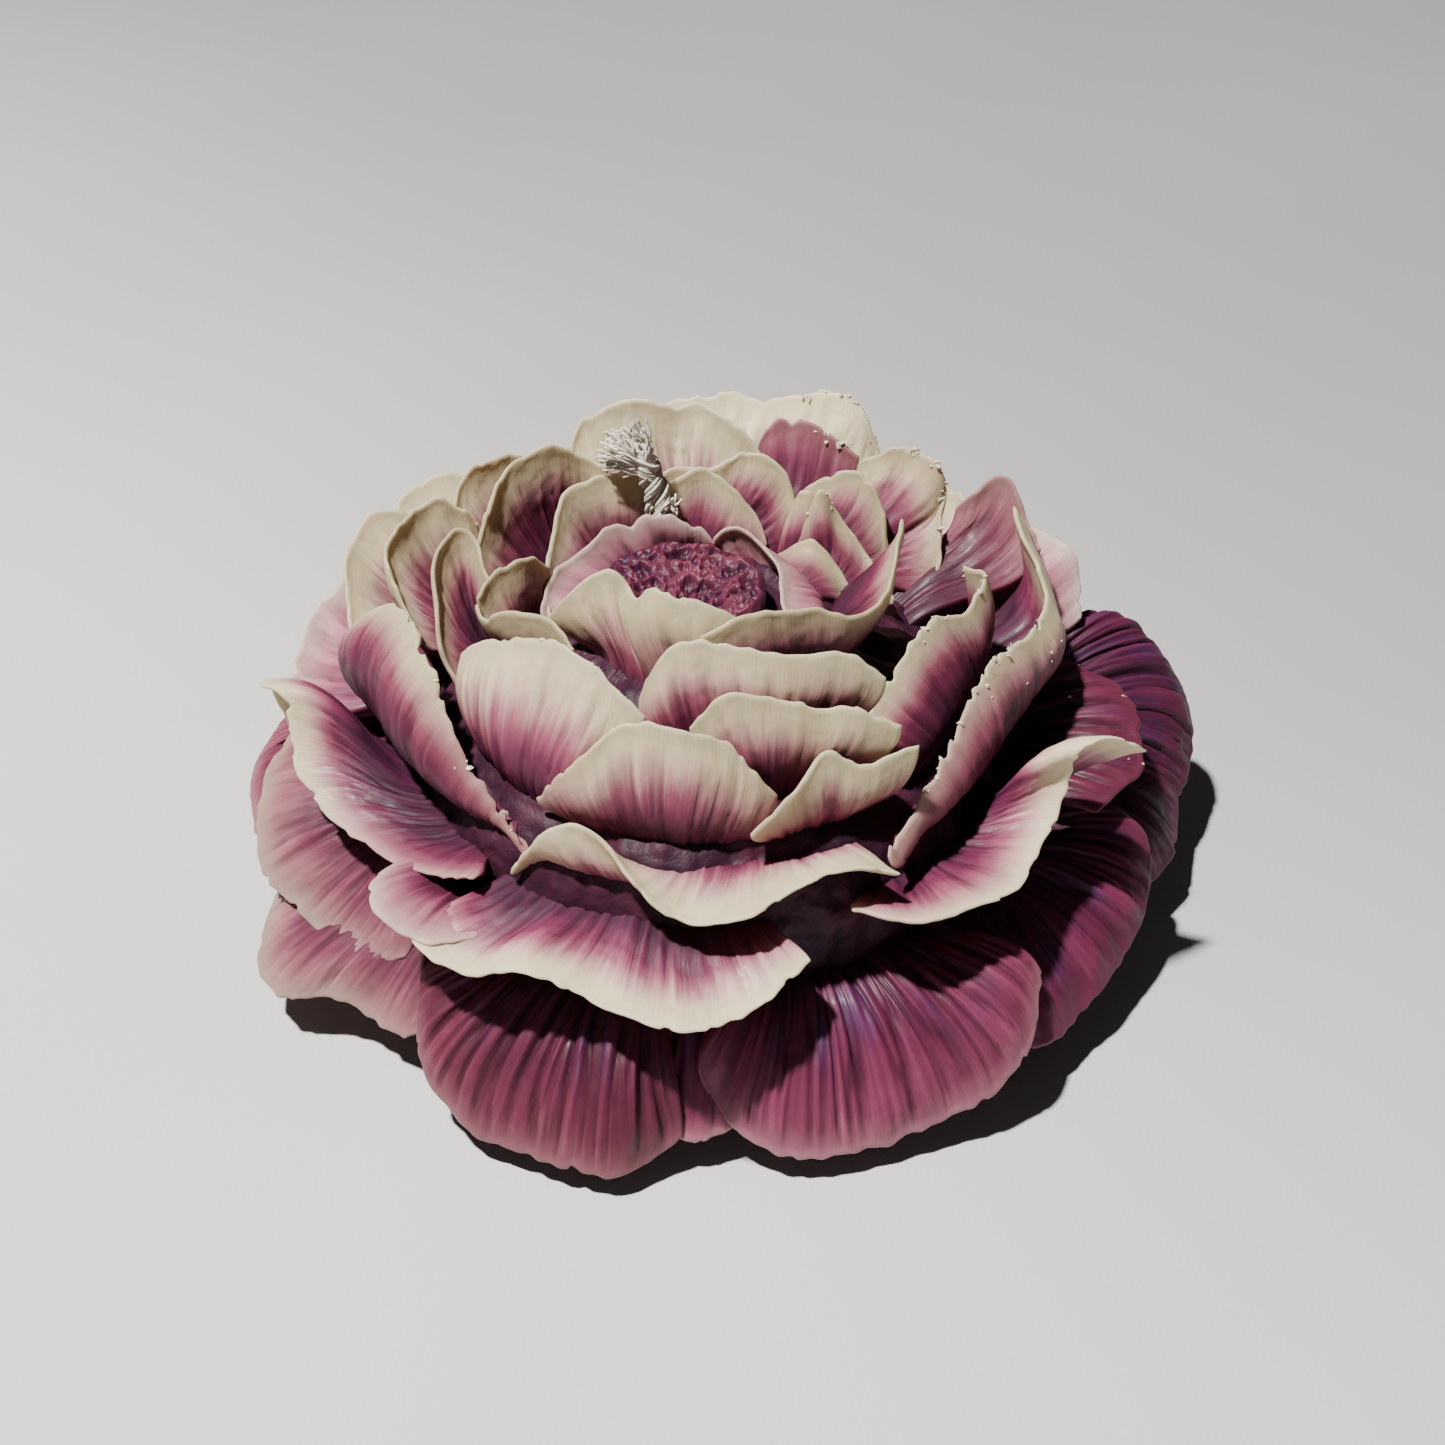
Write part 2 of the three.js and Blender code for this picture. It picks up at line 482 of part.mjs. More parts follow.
// The sheet of a petal: rows of points from its foot to its rim
function petalSheet(petal) {
  const [rootRadius, rootHeight] = tierShares[petal.tier];
  const rimPoints = petal.rimShares.map(([azimuth, radiusShare, heightShare]) =>
    pointAround(azimuth, radiusShare * flowerRadius, heightShare * flowerHeight));
  const rimCurve = new THREE.CatmullRomCurve3(rimPoints, false, 'catmullrom');
  const columns = Math.max(leastColumns, Math.round(rimCurve.getLength() / rimStep));
  const rim = rimCurve.getSpacedPoints(columns);
  const threads = rim.map((tip, column) => {
    const azimuth = valueAlong(petal.foot, column / columns);
    const arrival = valueAlong(petal.arrive, column / columns);
    const root = pointAround(azimuth, rootRadius * flowerRadius - rootDepth, rootHeight * flowerHeight);
    const reach = petal.bellyShare * root.distanceTo(tip);
    const leaving = root.clone().addScaledVector(directionAt(root, petal.leave), reach);
    const arriving = tip.clone().addScaledVector(directionAt(tip, arrival), -reach);
    return new THREE.CubicBezierCurve3(root, leaving, arriving, tip).getPoints(petalRows);
  });
  return Array.from({ length: petalRows + 1 }, (_, row) => threads.map((thread) => thread[row]));
}

// The directions along a sheet's row and up its column, at one of its points
function tangentsAt(sheet, row, column) {
  const lastRow = sheet.length - 1;
  const lastColumn = sheet[0].length - 1;
  const along = sheet[row][Math.min(column + 1, lastColumn)].clone();
  along.sub(sheet[row][Math.max(column - 1, 0)]).normalize();
  const rising = sheet[Math.min(row + 1, lastRow)][column].clone();
  rising.sub(sheet[Math.max(row - 1, 0)][column]).normalize();
  return { along, rising };
}

// The outer and inner faces of a sheet, thinner towards the rim, and larger by grow on every side
function petalFaces(sheet, grow) {
  const lastRow = sheet.length - 1;
  const lastColumn = sheet[0].length - 1;
  const outer = [];
  const inner = [];
  sheet.forEach((points, row) => points.forEach((point, column) => {
    const { along, rising } = tangentsAt(sheet, row, column);
    const normal = along.clone().cross(rising).normalize();
    const half = THREE.MathUtils.lerp(footThickness, rimThickness, row / lastRow) / 2 + grow;
    const middle = point.clone();
    const sideways = (column === lastColumn) - (column === 0);
    const lengthways = (row === lastRow) - (row === 0);
    middle.addScaledVector(along, sideways * grow).addScaledVector(rising, lengthways * grow);
    outer.push(middle.clone().addScaledVector(normal, half));
    inner.push(middle.clone().addScaledVector(normal, -half));
  }));
  return [...outer, ...inner];
}

// The triangles of a closed sheet with two faces and an edge strip round them
function petalTriangles(rows, columns) {
  const backStart = rows * columns;
  const at = (row, column) => row * columns + column;
  const triangles = [];
  const addQuad = (a, b, c, d) => triangles.push([a, b, c], [a, c, d]);
  for (let row = 0; row < rows - 1; row += 1) {
    for (let column = 0; column < columns - 1; column += 1) {
      const corners = [at(row, column), at(row, column + 1), at(row + 1, column + 1), at(row + 1, column)];
      addQuad(...corners);
      addQuad(...corners.map((corner) => corner + backStart).reverse());
    }
  }
  const edge = [];
  for (let column = 0; column < columns - 1; column += 1) edge.push(at(0, column));
  for (let row = 0; row < rows - 1; row += 1) edge.push(at(row, columns - 1));
  for (let column = columns - 1; column > 0; column -= 1) edge.push(at(rows - 1, column));
  for (let row = rows - 1; row > 0; row -= 1) edge.push(at(row, 0));
  edge.forEach((corner, place) => {
    const next = edge[(place + 1) % edge.length];
    addQuad(corner, corner + backStart, next + backStart, next);
  });
  return triangles;
}

// A petal's solid, larger by grow on every side
function petalSolid(petal, grow) {
  const sheet = petalSheet(petal);
  return solidOf(petalFaces(sheet, grow), petalTriangles(sheet.length, sheet[0].length));
}

// A body turned about an upright axis, from its profile of radii and heights
function turnedSolid(profile, sides, place) {
  const geometry = new THREE.LatheGeometry(profile.map(([radius, height]) =>
    new THREE.Vector2(radius, height)), sides);
  geometry.rotateX(Math.PI / 2);
  geometry.translate(place.x, place.y, 0);
  return solidOfGeometry(geometry);
}

// The core's outer profile, larger by grow, through the roots of the petal rings
function coreProfile(grow) {
  const rings = Object.values(tierShares).map(([radiusShare, heightShare]) =>
    [radiusShare * flowerRadius + grow, heightShare * flowerHeight + grow]);
  const bottom = -grow;
  const seat = [seatShares[0] * flowerRadius + grow, seatHeight + grow];
  return [[0, bottom], [rings[0][0], bottom], ...rings, seat, [0, seat[1]]];
}

function makeCore() {
  const clearOfTab = [
    [0, -cutOverrun],
    [tabRadius + waxGap, -cutOverrun],
    [tabRadius + waxGap, tabThickness + waxGap],
    [collarRadius + waxGap, tabThickness + waxGap],
    [collarRadius + waxGap, collarHeight + waxGap],
    [boreRadius, collarHeight + waxGap],
    [boreRadius, flowerHeight],
    [0, flowerHeight],
  ];
  const body = turnedSolid(coreProfile(0), coreSides, { x: 0, y: 0 });
  return body.subtract(turnedSolid(clearOfTab, tabSides, wickPlace));
}

// A pressed disc with a collar that grips the wick
function makeTab() {
  const profile = [
    [boreRadius, 0],
    [tabRadius, 0],
    [tabRadius, tabThickness],
    [collarRadius, tabThickness],
    [collarRadius, collarHeight],
    [boreRadius, collarHeight],
    [boreRadius, 0],
  ];
  return turnedSolid(profile, tabSides, wickPlace);
}

// The wick from the tab to its knot and the torn head over it, thicker by grow
function makeWick(grow) {
  const foot = new THREE.Vector3(wickPlace.x, wickPlace.y, tabThickness);
  const seat = foot.clone().setZ(seatHeight);
  const bend = foot.clone().setZ(wickUpright);
  const knot = bend.clone().add(new THREE.Vector3(...wickLean));
  const outline = new THREE.Shape();
  outline.absarc(0, 0, wickRadius + grow, 0, 2 * Math.PI);
  const extrudePath = new THREE.CatmullRomCurve3([foot, seat, bend, knot]);
  const settings = { steps: wickSteps, curveSegments: wickSides, extrudePath };
  const cord = solidOfGeometry(new THREE.ExtrudeGeometry(outline, settings));
  const middle = knot.clone().add(new THREE.Vector3(...wickHeadOffset));
  const head = new THREE.IcosahedronGeometry(wickHeadRadius + grow, 1);
  head.scale(...wickHeadShares);
  head.translate(middle.x, middle.y, middle.z);
  return cord.add(solidOfGeometry(head));
}

// The crumbled wax in the middle of the flower, hollowed like a shallow bowl
function makeHeart(grow) {
  const floor = seatHeight + waxGap - grow;
  const height = heartHeight + 2 * grow;
  const profile = heartShares.map(([radiusShare, heightShare]) =>
    [radiusShare * (heartRadius + grow), floor + heightShare * height]);
  return turnedSolid([[0, floor], ...profile], heartSides, heartPlace);
}

// Each piece in the order that settles who gives way: a later one is cut clear of all before it
function makePieces() {
  const pieces = [
    { name: 'wax_core', look: 'core', solid: makeCore() },
    { name: 'wick_tab', look: 'steel', solid: makeTab() },
    { name: 'wick', look: 'cotton', solid: makeWick(0) },
    { name: 'heart', look: 'heart', solid: makeHeart(0) },
  ];
  const cutters = [turnedSolid(coreProfile(waxGap), coreSides, { x: 0, y: 0 })];
  cutters.push(makeWick(waxGap), makeHeart(waxGap));
  for (const petal of petals) {
    const cut = cutters.reduce((solid, cutter) => solid.subtract(cutter), petalSolid(petal, 0));
    pieces.push({ name: petal.name, look: petal.look, solid: largestBody(cut) });
    cutters.push(petalSolid(petal, waxGap));
  }
  return pieces;
}

// A solid as a named three.js mesh with its own material
function meshOf({ name, look, solid }) {
  const { numProp, vertProperties, triVerts } = solid.getMesh();
  const geometry = new THREE.BufferGeometry();
  geometry.setAttribute('position', new THREE.BufferAttribute(vertProperties, numProp));
  geometry.setIndex(new THREE.BufferAttribute(triVerts, 1));
  geometry.computeVertexNormals();
  const mesh = new THREE.Mesh(geometry, new THREE.MeshStandardMaterial(looks[look]));
  mesh.name = name;
  return mesh;
}

const candle = new THREE.Group();
candle.name = 'peony_candle';
makePieces().forEach((piece) => candle.add(meshOf(piece)));

export default candle;
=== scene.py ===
# The looks of the peony candle: veined wax petals, a crumbled heart and a twisted cotton wick.
# Lengths are in millimetres until a mesh is made, and metres from there on.
import math

import bmesh
import bpy
import numpy as np
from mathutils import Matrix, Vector


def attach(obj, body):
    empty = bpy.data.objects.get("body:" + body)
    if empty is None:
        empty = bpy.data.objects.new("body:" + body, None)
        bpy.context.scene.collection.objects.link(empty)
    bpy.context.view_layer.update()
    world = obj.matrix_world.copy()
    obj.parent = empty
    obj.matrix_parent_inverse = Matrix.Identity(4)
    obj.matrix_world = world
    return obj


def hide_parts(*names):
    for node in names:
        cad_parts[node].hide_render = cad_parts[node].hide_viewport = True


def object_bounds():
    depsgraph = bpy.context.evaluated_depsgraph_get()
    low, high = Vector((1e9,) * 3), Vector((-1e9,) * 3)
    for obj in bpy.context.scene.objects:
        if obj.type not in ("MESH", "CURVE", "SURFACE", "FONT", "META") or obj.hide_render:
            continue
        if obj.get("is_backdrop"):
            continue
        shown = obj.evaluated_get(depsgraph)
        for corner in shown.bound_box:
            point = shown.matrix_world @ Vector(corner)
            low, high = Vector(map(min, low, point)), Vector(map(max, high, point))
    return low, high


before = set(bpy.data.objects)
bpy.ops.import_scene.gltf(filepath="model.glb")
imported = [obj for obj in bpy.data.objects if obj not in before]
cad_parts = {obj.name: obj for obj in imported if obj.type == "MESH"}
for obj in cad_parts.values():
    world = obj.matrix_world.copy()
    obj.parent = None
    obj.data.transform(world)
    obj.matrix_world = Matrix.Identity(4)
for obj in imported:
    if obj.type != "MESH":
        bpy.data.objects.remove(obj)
cad_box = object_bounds()

MM = 0.001
BODY = "root"

# The flower, with the same driving dimensions as the solids
FLOWER_RADIUS = 55.0
FLOWER_HEIGHT = 54.0
RIM_THICKNESS = 1.4
FOOT_THICKNESS = 2.4
ROOT_DEPTH = 1.2
HEART_RADIUS = 9.1
HEART_FLOOR = 39.7
HEART_TOP = 43.7
HEART_MIDDLE = 41.9
HEART_PLACE = (-2.5, 0.0)
WICK_FOOT = (-4.4, 13.6, 0.5)
WICK_SEAT = 39.4
WICK_UPRIGHT = 42.0
WICK_LEAN = (-2.2, 1.0, 8.0)

# The rings of petals, from the table up: where they are rooted, as shares of the flower's radius and
# height, and how pale their wax is, which is partly painted light and shade for how lit the ring is
TIERS = {
    "low": (0.58, 0.26, 0.95),
    "base": (0.58, 0.34, 0.85),
    "skirt": (0.57, 0.42, 0.97),
    "outer": (0.53, 0.51, 0.84),
    "bowl": (0.48, 0.56, 0.78),
    "mid": (0.43, 0.60, 0.78),
    "cup": (0.38, 0.635, 0.8),
    "inner": (0.33, 0.665, 0.78),
    "bud": (0.28, 0.69, 0.8),
    "heart": (0.24, 0.71, 0.76),
}
SEAT_SHARES = (0.2, 0.73)

# How far a petal bulges between its foot and its rim, as a share of the straight way
BELLY = 0.4
BELLIES = {
    "mid_petal_right": 0.55,
    "outer_petal_right": 0.6,
    "outer_petal_left": 0.6,
    "skirt_petal_left": 0.45,
}

# The petals, from the heart outwards: name, look, tier, azimuths of the foot, the angle above the
# outward level at which the sheet leaves its foot, those at which it arrives at its rim, spread
# evenly along it, and the rim's points (azimuth, percent of the radius, percent of the height)
PETALS = (
    ("heart_petal_front", "cream", "heart", (205, 285), 95, (115,), (
        (196, 31, 80), (200, 28, 85), (203, 24, 89.5), (207, 20, 91.5), (216, 18, 89.5), (225, 19, 88.5),
        (236, 19.5, 90.5), (248, 20, 92), (263, 20, 91.5), (278, 21, 90), (291, 21.5, 86))),
    ("heart_petal_back", "rose", "heart", (182, 85), 75, (78, 66), (
        (182, 32, 74), (170, 31.5, 77.5), (158, 30, 80), (146, 27, 82), (136, 25, 83.5), (129, 24, 82.5),
        (121, 23.5, 84), (112, 22, 84), (103, 20.5, 82.5), (94, 20, 81.5), (85, 19, 79))),
    ("heart_petal_right", "rose", "heart", (82, -20), 75, (115, 125, 120), (
        (86, 20, 77), (80, 20, 80), (70, 19.5, 81.5), (58, 19, 80), (44, 17.5, 79.5), (28, 16, 80),
        (12, 15, 79), (-4, 15, 77), (-20, 16, 75.5), (-34, 17.5, 74))),
    ("bud_petal_right", "cream", "heart", (52, 14), 60, (85,), (
        (60, 24, 71), (54, 26, 75), (43, 29, 79), (34, 32, 74), (22, 33, 68))),
    ("bud_petal_back_left", "cream", "inner", (170, 112), 75, (80,), (
        (190, 31, 73), (160, 34, 78), (140, 38, 87), (129, 35, 89), (116, 32, 89), (106, 32, 85))),
    ("bud_petal_back", "cream", "bud", (106, 70), 75, (82,), (
        (106, 31, 86), (92, 33, 87), (82, 33, 84), (74, 33, 79), (66, 31, 72))),
    ("bud_petal_front_right", "cream", "bud", (278, 368), 85, (95,), (
        (268, 27.5, 88.5), (287, 26.8, 91), (305, 27.5, 90), (316, 29, 89), (326, 33, 86), (340, 35, 85),
        (353, 36, 87), (372, 39, 90))),
    ("curl_petal_left_back", "cream", "cup", (176, 190), 80, (90,), (
        (166, 32, 80), (174, 35, 86), (181, 40, 84), (188, 44, 81))),
    ("curl_petal_left_front", "cream", "inner", (195, 222), 80, (90,), (
        (186, 44, 80), (195, 43, 82), (203, 39, 85), (214, 35, 87), (227, 35, 84))),
    ("inner_petal_back", "cream", "inner", (106, 66), 65, (88,), (
        (114, 36, 84), (98, 38, 85), (88, 38, 85), (80, 40, 87), (71, 40, 87), (64, 40, 82),
        (59, 36, 70))),
    ("blade_petal_right", "cream", "inner", (48, 22), 60, (80,), (
        (54, 32, 74), (49, 35, 86), (44, 38, 80), (36, 41, 72), (22, 42, 66))),
    ("blade_petal_right_back", "cream", "inner", (61, 52), 75, (80,), (
        (63, 35, 74), (57, 37, 84), (51, 38, 79))),
    ("inner_petal_front", "cream", "cup", (255, 306), 80, (105,), (
        (248, 33, 77), (256, 33, 87), (270, 32, 91), (284, 35, 90), (297, 38, 89), (308, 42, 89),
        (314, 47, 84))),
    ("cup_petal_back_right", "cream", "cup", (62, 40), 60, (88,), (
        (66, 45, 75), (58, 47, 82), (49, 49, 84), (42, 49, 77), (38, 49, 66))),
    ("crown_petal_back_left", "cream", "cup", (118, 80), 55, (88,), (
        (124, 54, 80), (118, 55, 90), (111, 53, 94), (104, 51, 94), (98, 50, 92), (92, 49, 93),
        (82, 47, 90), (74, 45, 82))),
    ("mid_petal_front", "cream", "mid", (272, 306), 70, (98,), (
        (266, 38, 76), (276, 38, 83), (288, 41, 82), (299, 44, 80), (304, 47, 81), (312, 53, 77))),
    ("blade_petal_left", "cream", "mid", (194, 174), 50, (92,), (
        (197, 50, 66), (188, 52, 74), (176, 53, 82), (167, 51, 86), (166, 47, 84), (172, 43, 78),
        (178, 40, 72))),
    ("mid_petal_back_left", "cream", "mid", (156, 122), 50, (90,), (
        (160, 52, 68), (154, 51, 80), (146, 51, 87), (134, 49, 91), (124, 47, 87), (118, 44, 84))),
    ("blush_petal_back", "rose", "mid", (78, 60), 50, (85,), (
        (80, 55, 78), (76, 56, 86), (71, 57, 87), (65, 58, 85), (57, 60, 80))),
    ("mid_petal_back_right", "cream", "mid", (56, 38), 50, (88,), (
        (57.5, 60, 78), (52, 60, 83), (47, 62, 85), (39, 62, 86), (37, 63, 80), (35.5, 61, 75.5),
        (33, 59, 71), (31, 57, 66), (29, 53, 63))),
    ("mid_petal_right", "cream", "bowl", (318, 366), 35, (135, 105), (
        (312, 44, 62), (317, 41, 70), (326, 40, 74), (337, 41, 78), (348, 43, 78), (356, 48, 76),
        (361, 52, 76), (367, 55, 79), (373, 53, 78))),
    ("bowl_petal_front_left", "cream", "bowl", (238, 280), 45, (98,), (
        (232, 50, 60), (241, 49, 71), (248, 46, 78), (255, 45, 80), (266, 45, 80), (275, 45, 78),
        (280, 46, 72), (286, 48, 66))),
    ("bowl_petal_front_right", "cream", "bowl", (284, 308), 45, (95,), (
        (279, 53, 62), (288, 51.5, 69), (296, 49, 74), (303, 52, 70), (308, 54, 72), (314, 56, 73))),
    ("bowl_petal_left", "cream", "bowl", (206, 246), 60, (105,), (
        (200, 49, 76), (204, 47, 81), (210, 44, 84), (218, 42, 87), (228, 39, 88), (241, 39, 86),
        (255, 40, 79))),
    ("bowl_petal_left_back", "cream", "bowl", (172, 152), 45, (88,), (
        (178, 57, 66), (173, 62, 74), (167, 66, 80), (158, 65, 83), (152, 60, 83), (148, 56, 76))),
    ("bowl_petal_back_left", "cream", "bowl", (146, 122), 45, (88,), (
        (148, 64, 72), (142, 65, 81), (134, 65, 82), (126, 64, 79), (120, 60, 74))),
    ("crown_petal_back", "cream", "bowl", (100, 62), 45, (62,), (
        (104, 68, 80), (94, 69, 84), (86, 70, 85), (78, 69, 85), (67, 69, 88), (61, 69, 86),
        (56, 68, 76))),
    ("bowl_petal_back_right", "rose", "bowl", (38, 22), 40, (82,), (
        (36, 65, 74), (34, 68, 78), (33, 72, 81), (31, 74, 81), (27, 75, 76), (22, 75, 70))),
    ("outer_petal_right", "cream", "outer", (310, 380), 15, (115, 125, 118), (
        (304, 61, 55), (307, 59, 55.5), (316, 56, 59), (326, 55, 63), (336, 54, 68), (348, 56, 70),
        (357, 61, 70), (366, 69, 69), (374, 69, 73), (380, 69, 77), (385, 70, 80))),
    ("outer_petal_left", "cream", "outer", (184, 228), 15, (132, 145), (
        (172, 70, 64), (176, 68, 71), (179, 63, 75), (185, 57, 78), (193, 55, 77), (201, 54, 74),
        (208, 55, 67), (220, 55, 59), (235, 54, 50))),
    ("outer_petal_left_back", "cream", "outer", (172, 150), 40, (66,), (
        (177, 72, 55), (173, 74, 62), (165, 77, 71), (158, 78, 76), (152, 76, 76), (146, 72, 70))),
    ("outer_petal_back_left", "cream", "outer", (148, 130), 40, (60,), (
        (152, 80, 64), (148, 81, 69), (142, 82, 71), (136, 80, 72), (128, 76, 70))),
    ("outer_petal_back", "cream", "outer", (130, 100), 40, (80,), (
        (132, 70, 62), (124, 76, 69), (113, 78, 70), (102, 76, 68), (96, 70, 60))),
    ("outer_petal_back_right", "cream", "outer", (64, 40), 40, (80,), (
        (66, 70, 60), (58, 76, 67), (48, 78, 68), (40, 77, 66), (35, 73, 58))),
    ("skirt_petal_front", "cream", "outer", (234, 302), 15, (95, 100, 40, 5, 15, 30), (
        (232, 59, 47), (236, 57.5, 55), (241, 57, 61), (246, 57, 63.5), (251, 57, 61), (257, 59.5, 56.5),
        (264, 63, 52), (270, 65, 51), (277, 64.5, 53), (284, 63.5, 55.5), (291, 63, 57.5),
        (297, 63.5, 57), (303, 65, 54))),
    ("skirt_petal_left", "cream", "skirt", (188, 224), 5, (0,), (
        (185, 84, 49), (182.5, 86.5, 54), (182, 88, 59), (184.5, 88, 61.5), (187, 85, 61.5),
        (189, 83, 56), (192, 83, 50), (198, 80, 46), (205, 76, 44), (212, 72, 43), (220, 69, 44),
        (229, 65, 48))),
    ("skirt_petal_left_back", "rose", "skirt", (172, 152), 30, (45,), (
        (177, 86, 47), (172, 88, 51), (165, 88, 54), (160, 87, 57), (152, 85, 58))),
    ("skirt_petal_back_left", "cream", "skirt", (146, 104), 25, (35,), (
        (151, 80, 50), (143, 87, 55), (131, 90, 56), (119, 91, 58), (107, 88, 54), (99, 80, 48))),
    ("skirt_petal_back", "cream", "skirt", (100, 62), 25, (35,), (
        (104, 80, 50), (96, 87, 55), (86, 91, 55), (74, 91, 58), (62, 87, 56), (55, 80, 50))),
    ("skirt_petal_back_right", "rose", "skirt", (56, 26), 30, (45,), (
        (60, 76, 52), (52, 84, 58), (42, 85, 61), (33, 86, 64), (27, 87, 64), (24, 88, 58),
        (21, 86, 50))),
    ("skirt_petal_right", "plum", "base", (-10, 16), 25, (-10,), (
        (-14, 80, 38), (-8, 87, 40), (-2, 90, 41), (4, 89, 44), (10, 87, 45), (18, 80, 45))),
    ("skirt_petal_front_right", "cream", "skirt", (302, 344), 0, (15,), (
        (295, 64, 48), (303, 72, 47), (314, 75, 46), (323, 76, 46), (332, 75, 48), (336, 75, 55),
        (336, 77, 64), (340, 82, 65), (345, 88, 58))),
    ("skirt_petal_front_left", "cream", "skirt", (229, 282), 0, (5,), (
        (225, 74, 40), (228, 80, 41), (236, 79, 39), (244, 77, 43), (253, 75, 41), (261, 78, 39),
        (268, 79, 38.5), (275, 76, 39), (281, 73, 42), (286, 69, 44))),
    ("skirt_petal_side_left", "rose", "base", (212, 226), 15, (-5,), (
        (213, 70, 43), (217, 77, 44.5), (220, 81, 45), (224, 82, 43.5), (228, 80, 42), (231, 77, 41.5),
        (234, 71, 41))),
    ("base_petal_left", "rose", "base", (182, 212), 20, (-30,), (
        (176, 84, 42), (181, 90, 38), (188, 92, 33), (194, 93, 28), (199, 90, 24), (205, 85, 22),
        (211, 81, 20), (217, 74, 22))),
    ("base_petal_left_back", "plum", "base", (176, 160), 12, (-45,), (
        (188, 88, 20), (184, 94, 18), (179, 98, 21), (175, 98, 26), (172, 94, 32), (164, 88, 36))),
    ("base_petal_back_left", "plum", "base", (150, 112), 12, (-50,), (
        (156, 88, 28), (149, 95, 17), (140, 98, 12), (128, 100, 12), (116, 96, 19), (108, 88, 30))),
    ("base_petal_back_right", "plum", "base", (66, 32), 12, (-50,), (
        (70, 90, 22), (62, 99, 13), (50, 102, 11), (38, 102, 15), (31, 98, 24), (27, 90, 36))),
    ("base_petal_right", "plum", "low", (-2, 22), 25, (-50,), (
        (-10, 92, 12), (-4, 99, 13), (3, 102, 15), (10, 108, 19), (14, 111, 25), (19, 110, 33),
        (22, 104, 40), (24, 95, 44), (24, 85, 44))),
    ("base_petal_front_right", "plum", "low", (276, 314), 25, (-60,), (
        (269, 72, 22), (271, 74.5, 14.5), (275, 78.5, 9.5), (281, 82.5, 6), (288, 83.5, 5.5),
        (295, 84.5, 6), (303, 86.5, 8), (309, 88.5, 12), (314, 88, 18), (321, 82, 26))),
    ("base_petal_front_left", "plum", "low", (232, 262), 20, (-60,), (
        (225, 76, 27), (227, 81, 19), (232, 84.5, 11.5), (238, 86.5, 7), (244, 86.5, 6), (253, 86.5, 5.5),
        (259, 86.5, 5.5), (263, 82.5, 6), (267, 78, 10))),
    ("low_petal_left", "rose", "low", (198, 222), 0, (-40,), (
        (192, 90, 19), (198, 94, 16), (203, 97, 12), (208, 95, 11), (212, 87, 13), (217, 83, 11),
        (223, 80, 11), (228, 74, 15))),
    ("low_petal_left_back", "plum", "low", (170, 150), 8, (-45,), (
        (176, 88, 20), (168, 95, 14), (160, 95, 13), (153, 92, 18), (148, 84, 26))),
    ("low_petal_back", "plum", "low", (110, 68), 8, (-50,), (
        (114, 88, 22), (108, 97, 12), (97, 100, 9), (84, 101, 9), (72, 97, 12), (64, 88, 22))),
    ("low_petal_right", "plum", "low", (322, 350), 8, (-55,), (
        (314, 82, 12), (320, 87, 11), (328, 89, 12), (338, 92, 15), (346, 93, 20), (351, 91, 26),
        (352, 85, 30))),
    ("low_petal_front", "plum", "low", (264, 276), -5, (-50,), (
        (262, 76, 11), (268, 78, 8), (274, 76, 8), (279, 73, 12))),
)

# How each look is grained: the column step, the spacing and depth of the veins, the depth of the
# lumps, and how far from the rim the veins reach their full depth
GRAINS = {
    "cream": {"step": 0.42, "spacing": 1.2, "veins": 0.26, "lumps": 0.22, "calm": 7.0},
    "rose": {"step": 0.4, "spacing": 1.2, "veins": 0.3, "lumps": 0.26, "calm": 4.0},
    "plum": {"step": 0.3, "spacing": 1.5, "veins": 0.7, "lumps": 0.3, "calm": 3.5},
}
NOISE_CELLS = 64
SPLINE_STEPS = 24

# The grid of a petal: its rows, how they crowd towards the rim, and its first columns at a side
ROWS = 46
ROW_CROWDING = 1.6
SIDE_STEPS = (0.0, 0.1, 0.28, 0.55)

# How far from its edge a petal is rounded, and the square of the least share of its thickness there
EDGE_ROUNDING = 0.5
LEAST_ROUNDING = 0.0004

# A rim is uneven by long and short noise of these heights and lengths, and chipped where a third
# noise is high
RIM_NOISES = ((0.3, 4.2), (0.2, 1.2))
CHIP_NOISE = (1.0, 1.5)
CHIP_DEPTH = 0.35
CHIP_LIMITS = (0.6, 0.9)

# A petal thins to a share of its thickness at its rim, and waves near it
THIN_SHARE = 0.36
THIN_REACH = 5.0
WAVE_REACH = 7

# Noise on a petal: its height, its length across the petal and its length down it
WAVE = (0.4, 5, 9)
SWELLING = (0.12, 5, 5)
WANDER = (0.8, 6, 8)
LUMPS = (0.5, 7, 6)
ROUGHNESS = (0.035, 0.9, 0.9)

# Veins: their lengths, how fine ones are beside the others, and the shares that make their relief
VEIN_LENGTH = 22
FINE_LENGTH = 9
FINE_SHARE = 0.4
GROOVE_WIDTH = 0.16
VEIN_SHARES = {"vein": 0.4, "fine": 0.35, "level": 0.3, "groove": 0.8}

# What is added to a petal's seed for each of its noises, and for those of its outer and inner face
RIM_SEED = 11
CHIP_SEED = 13
WAVE_SEED = 21
SWELLING_SEED = 22
FACE_SEEDS = (31, 41)


def value_noise(across, along, seed):
    """Smooth noise from -1 to 1 that changes over about one unit each way."""
    table = np.random.default_rng(seed).uniform(-1, 1, (NOISE_CELLS, NOISE_CELLS))
    column = np.floor(across).astype(int)
    row = np.floor(along).astype(int)
    right = smooth_step(across - column, 0, 1)
    top = smooth_step(along - row, 0, 1)

    def corner(x, y):
        return table[(column + x) % NOISE_CELLS, (row + y) % NOISE_CELLS]

    low = corner(0, 0) * (1 - right) + corner(1, 0) * right
    high = corner(0, 1) * (1 - right) + corner(1, 1) * right
    return low * (1 - top) + high * top


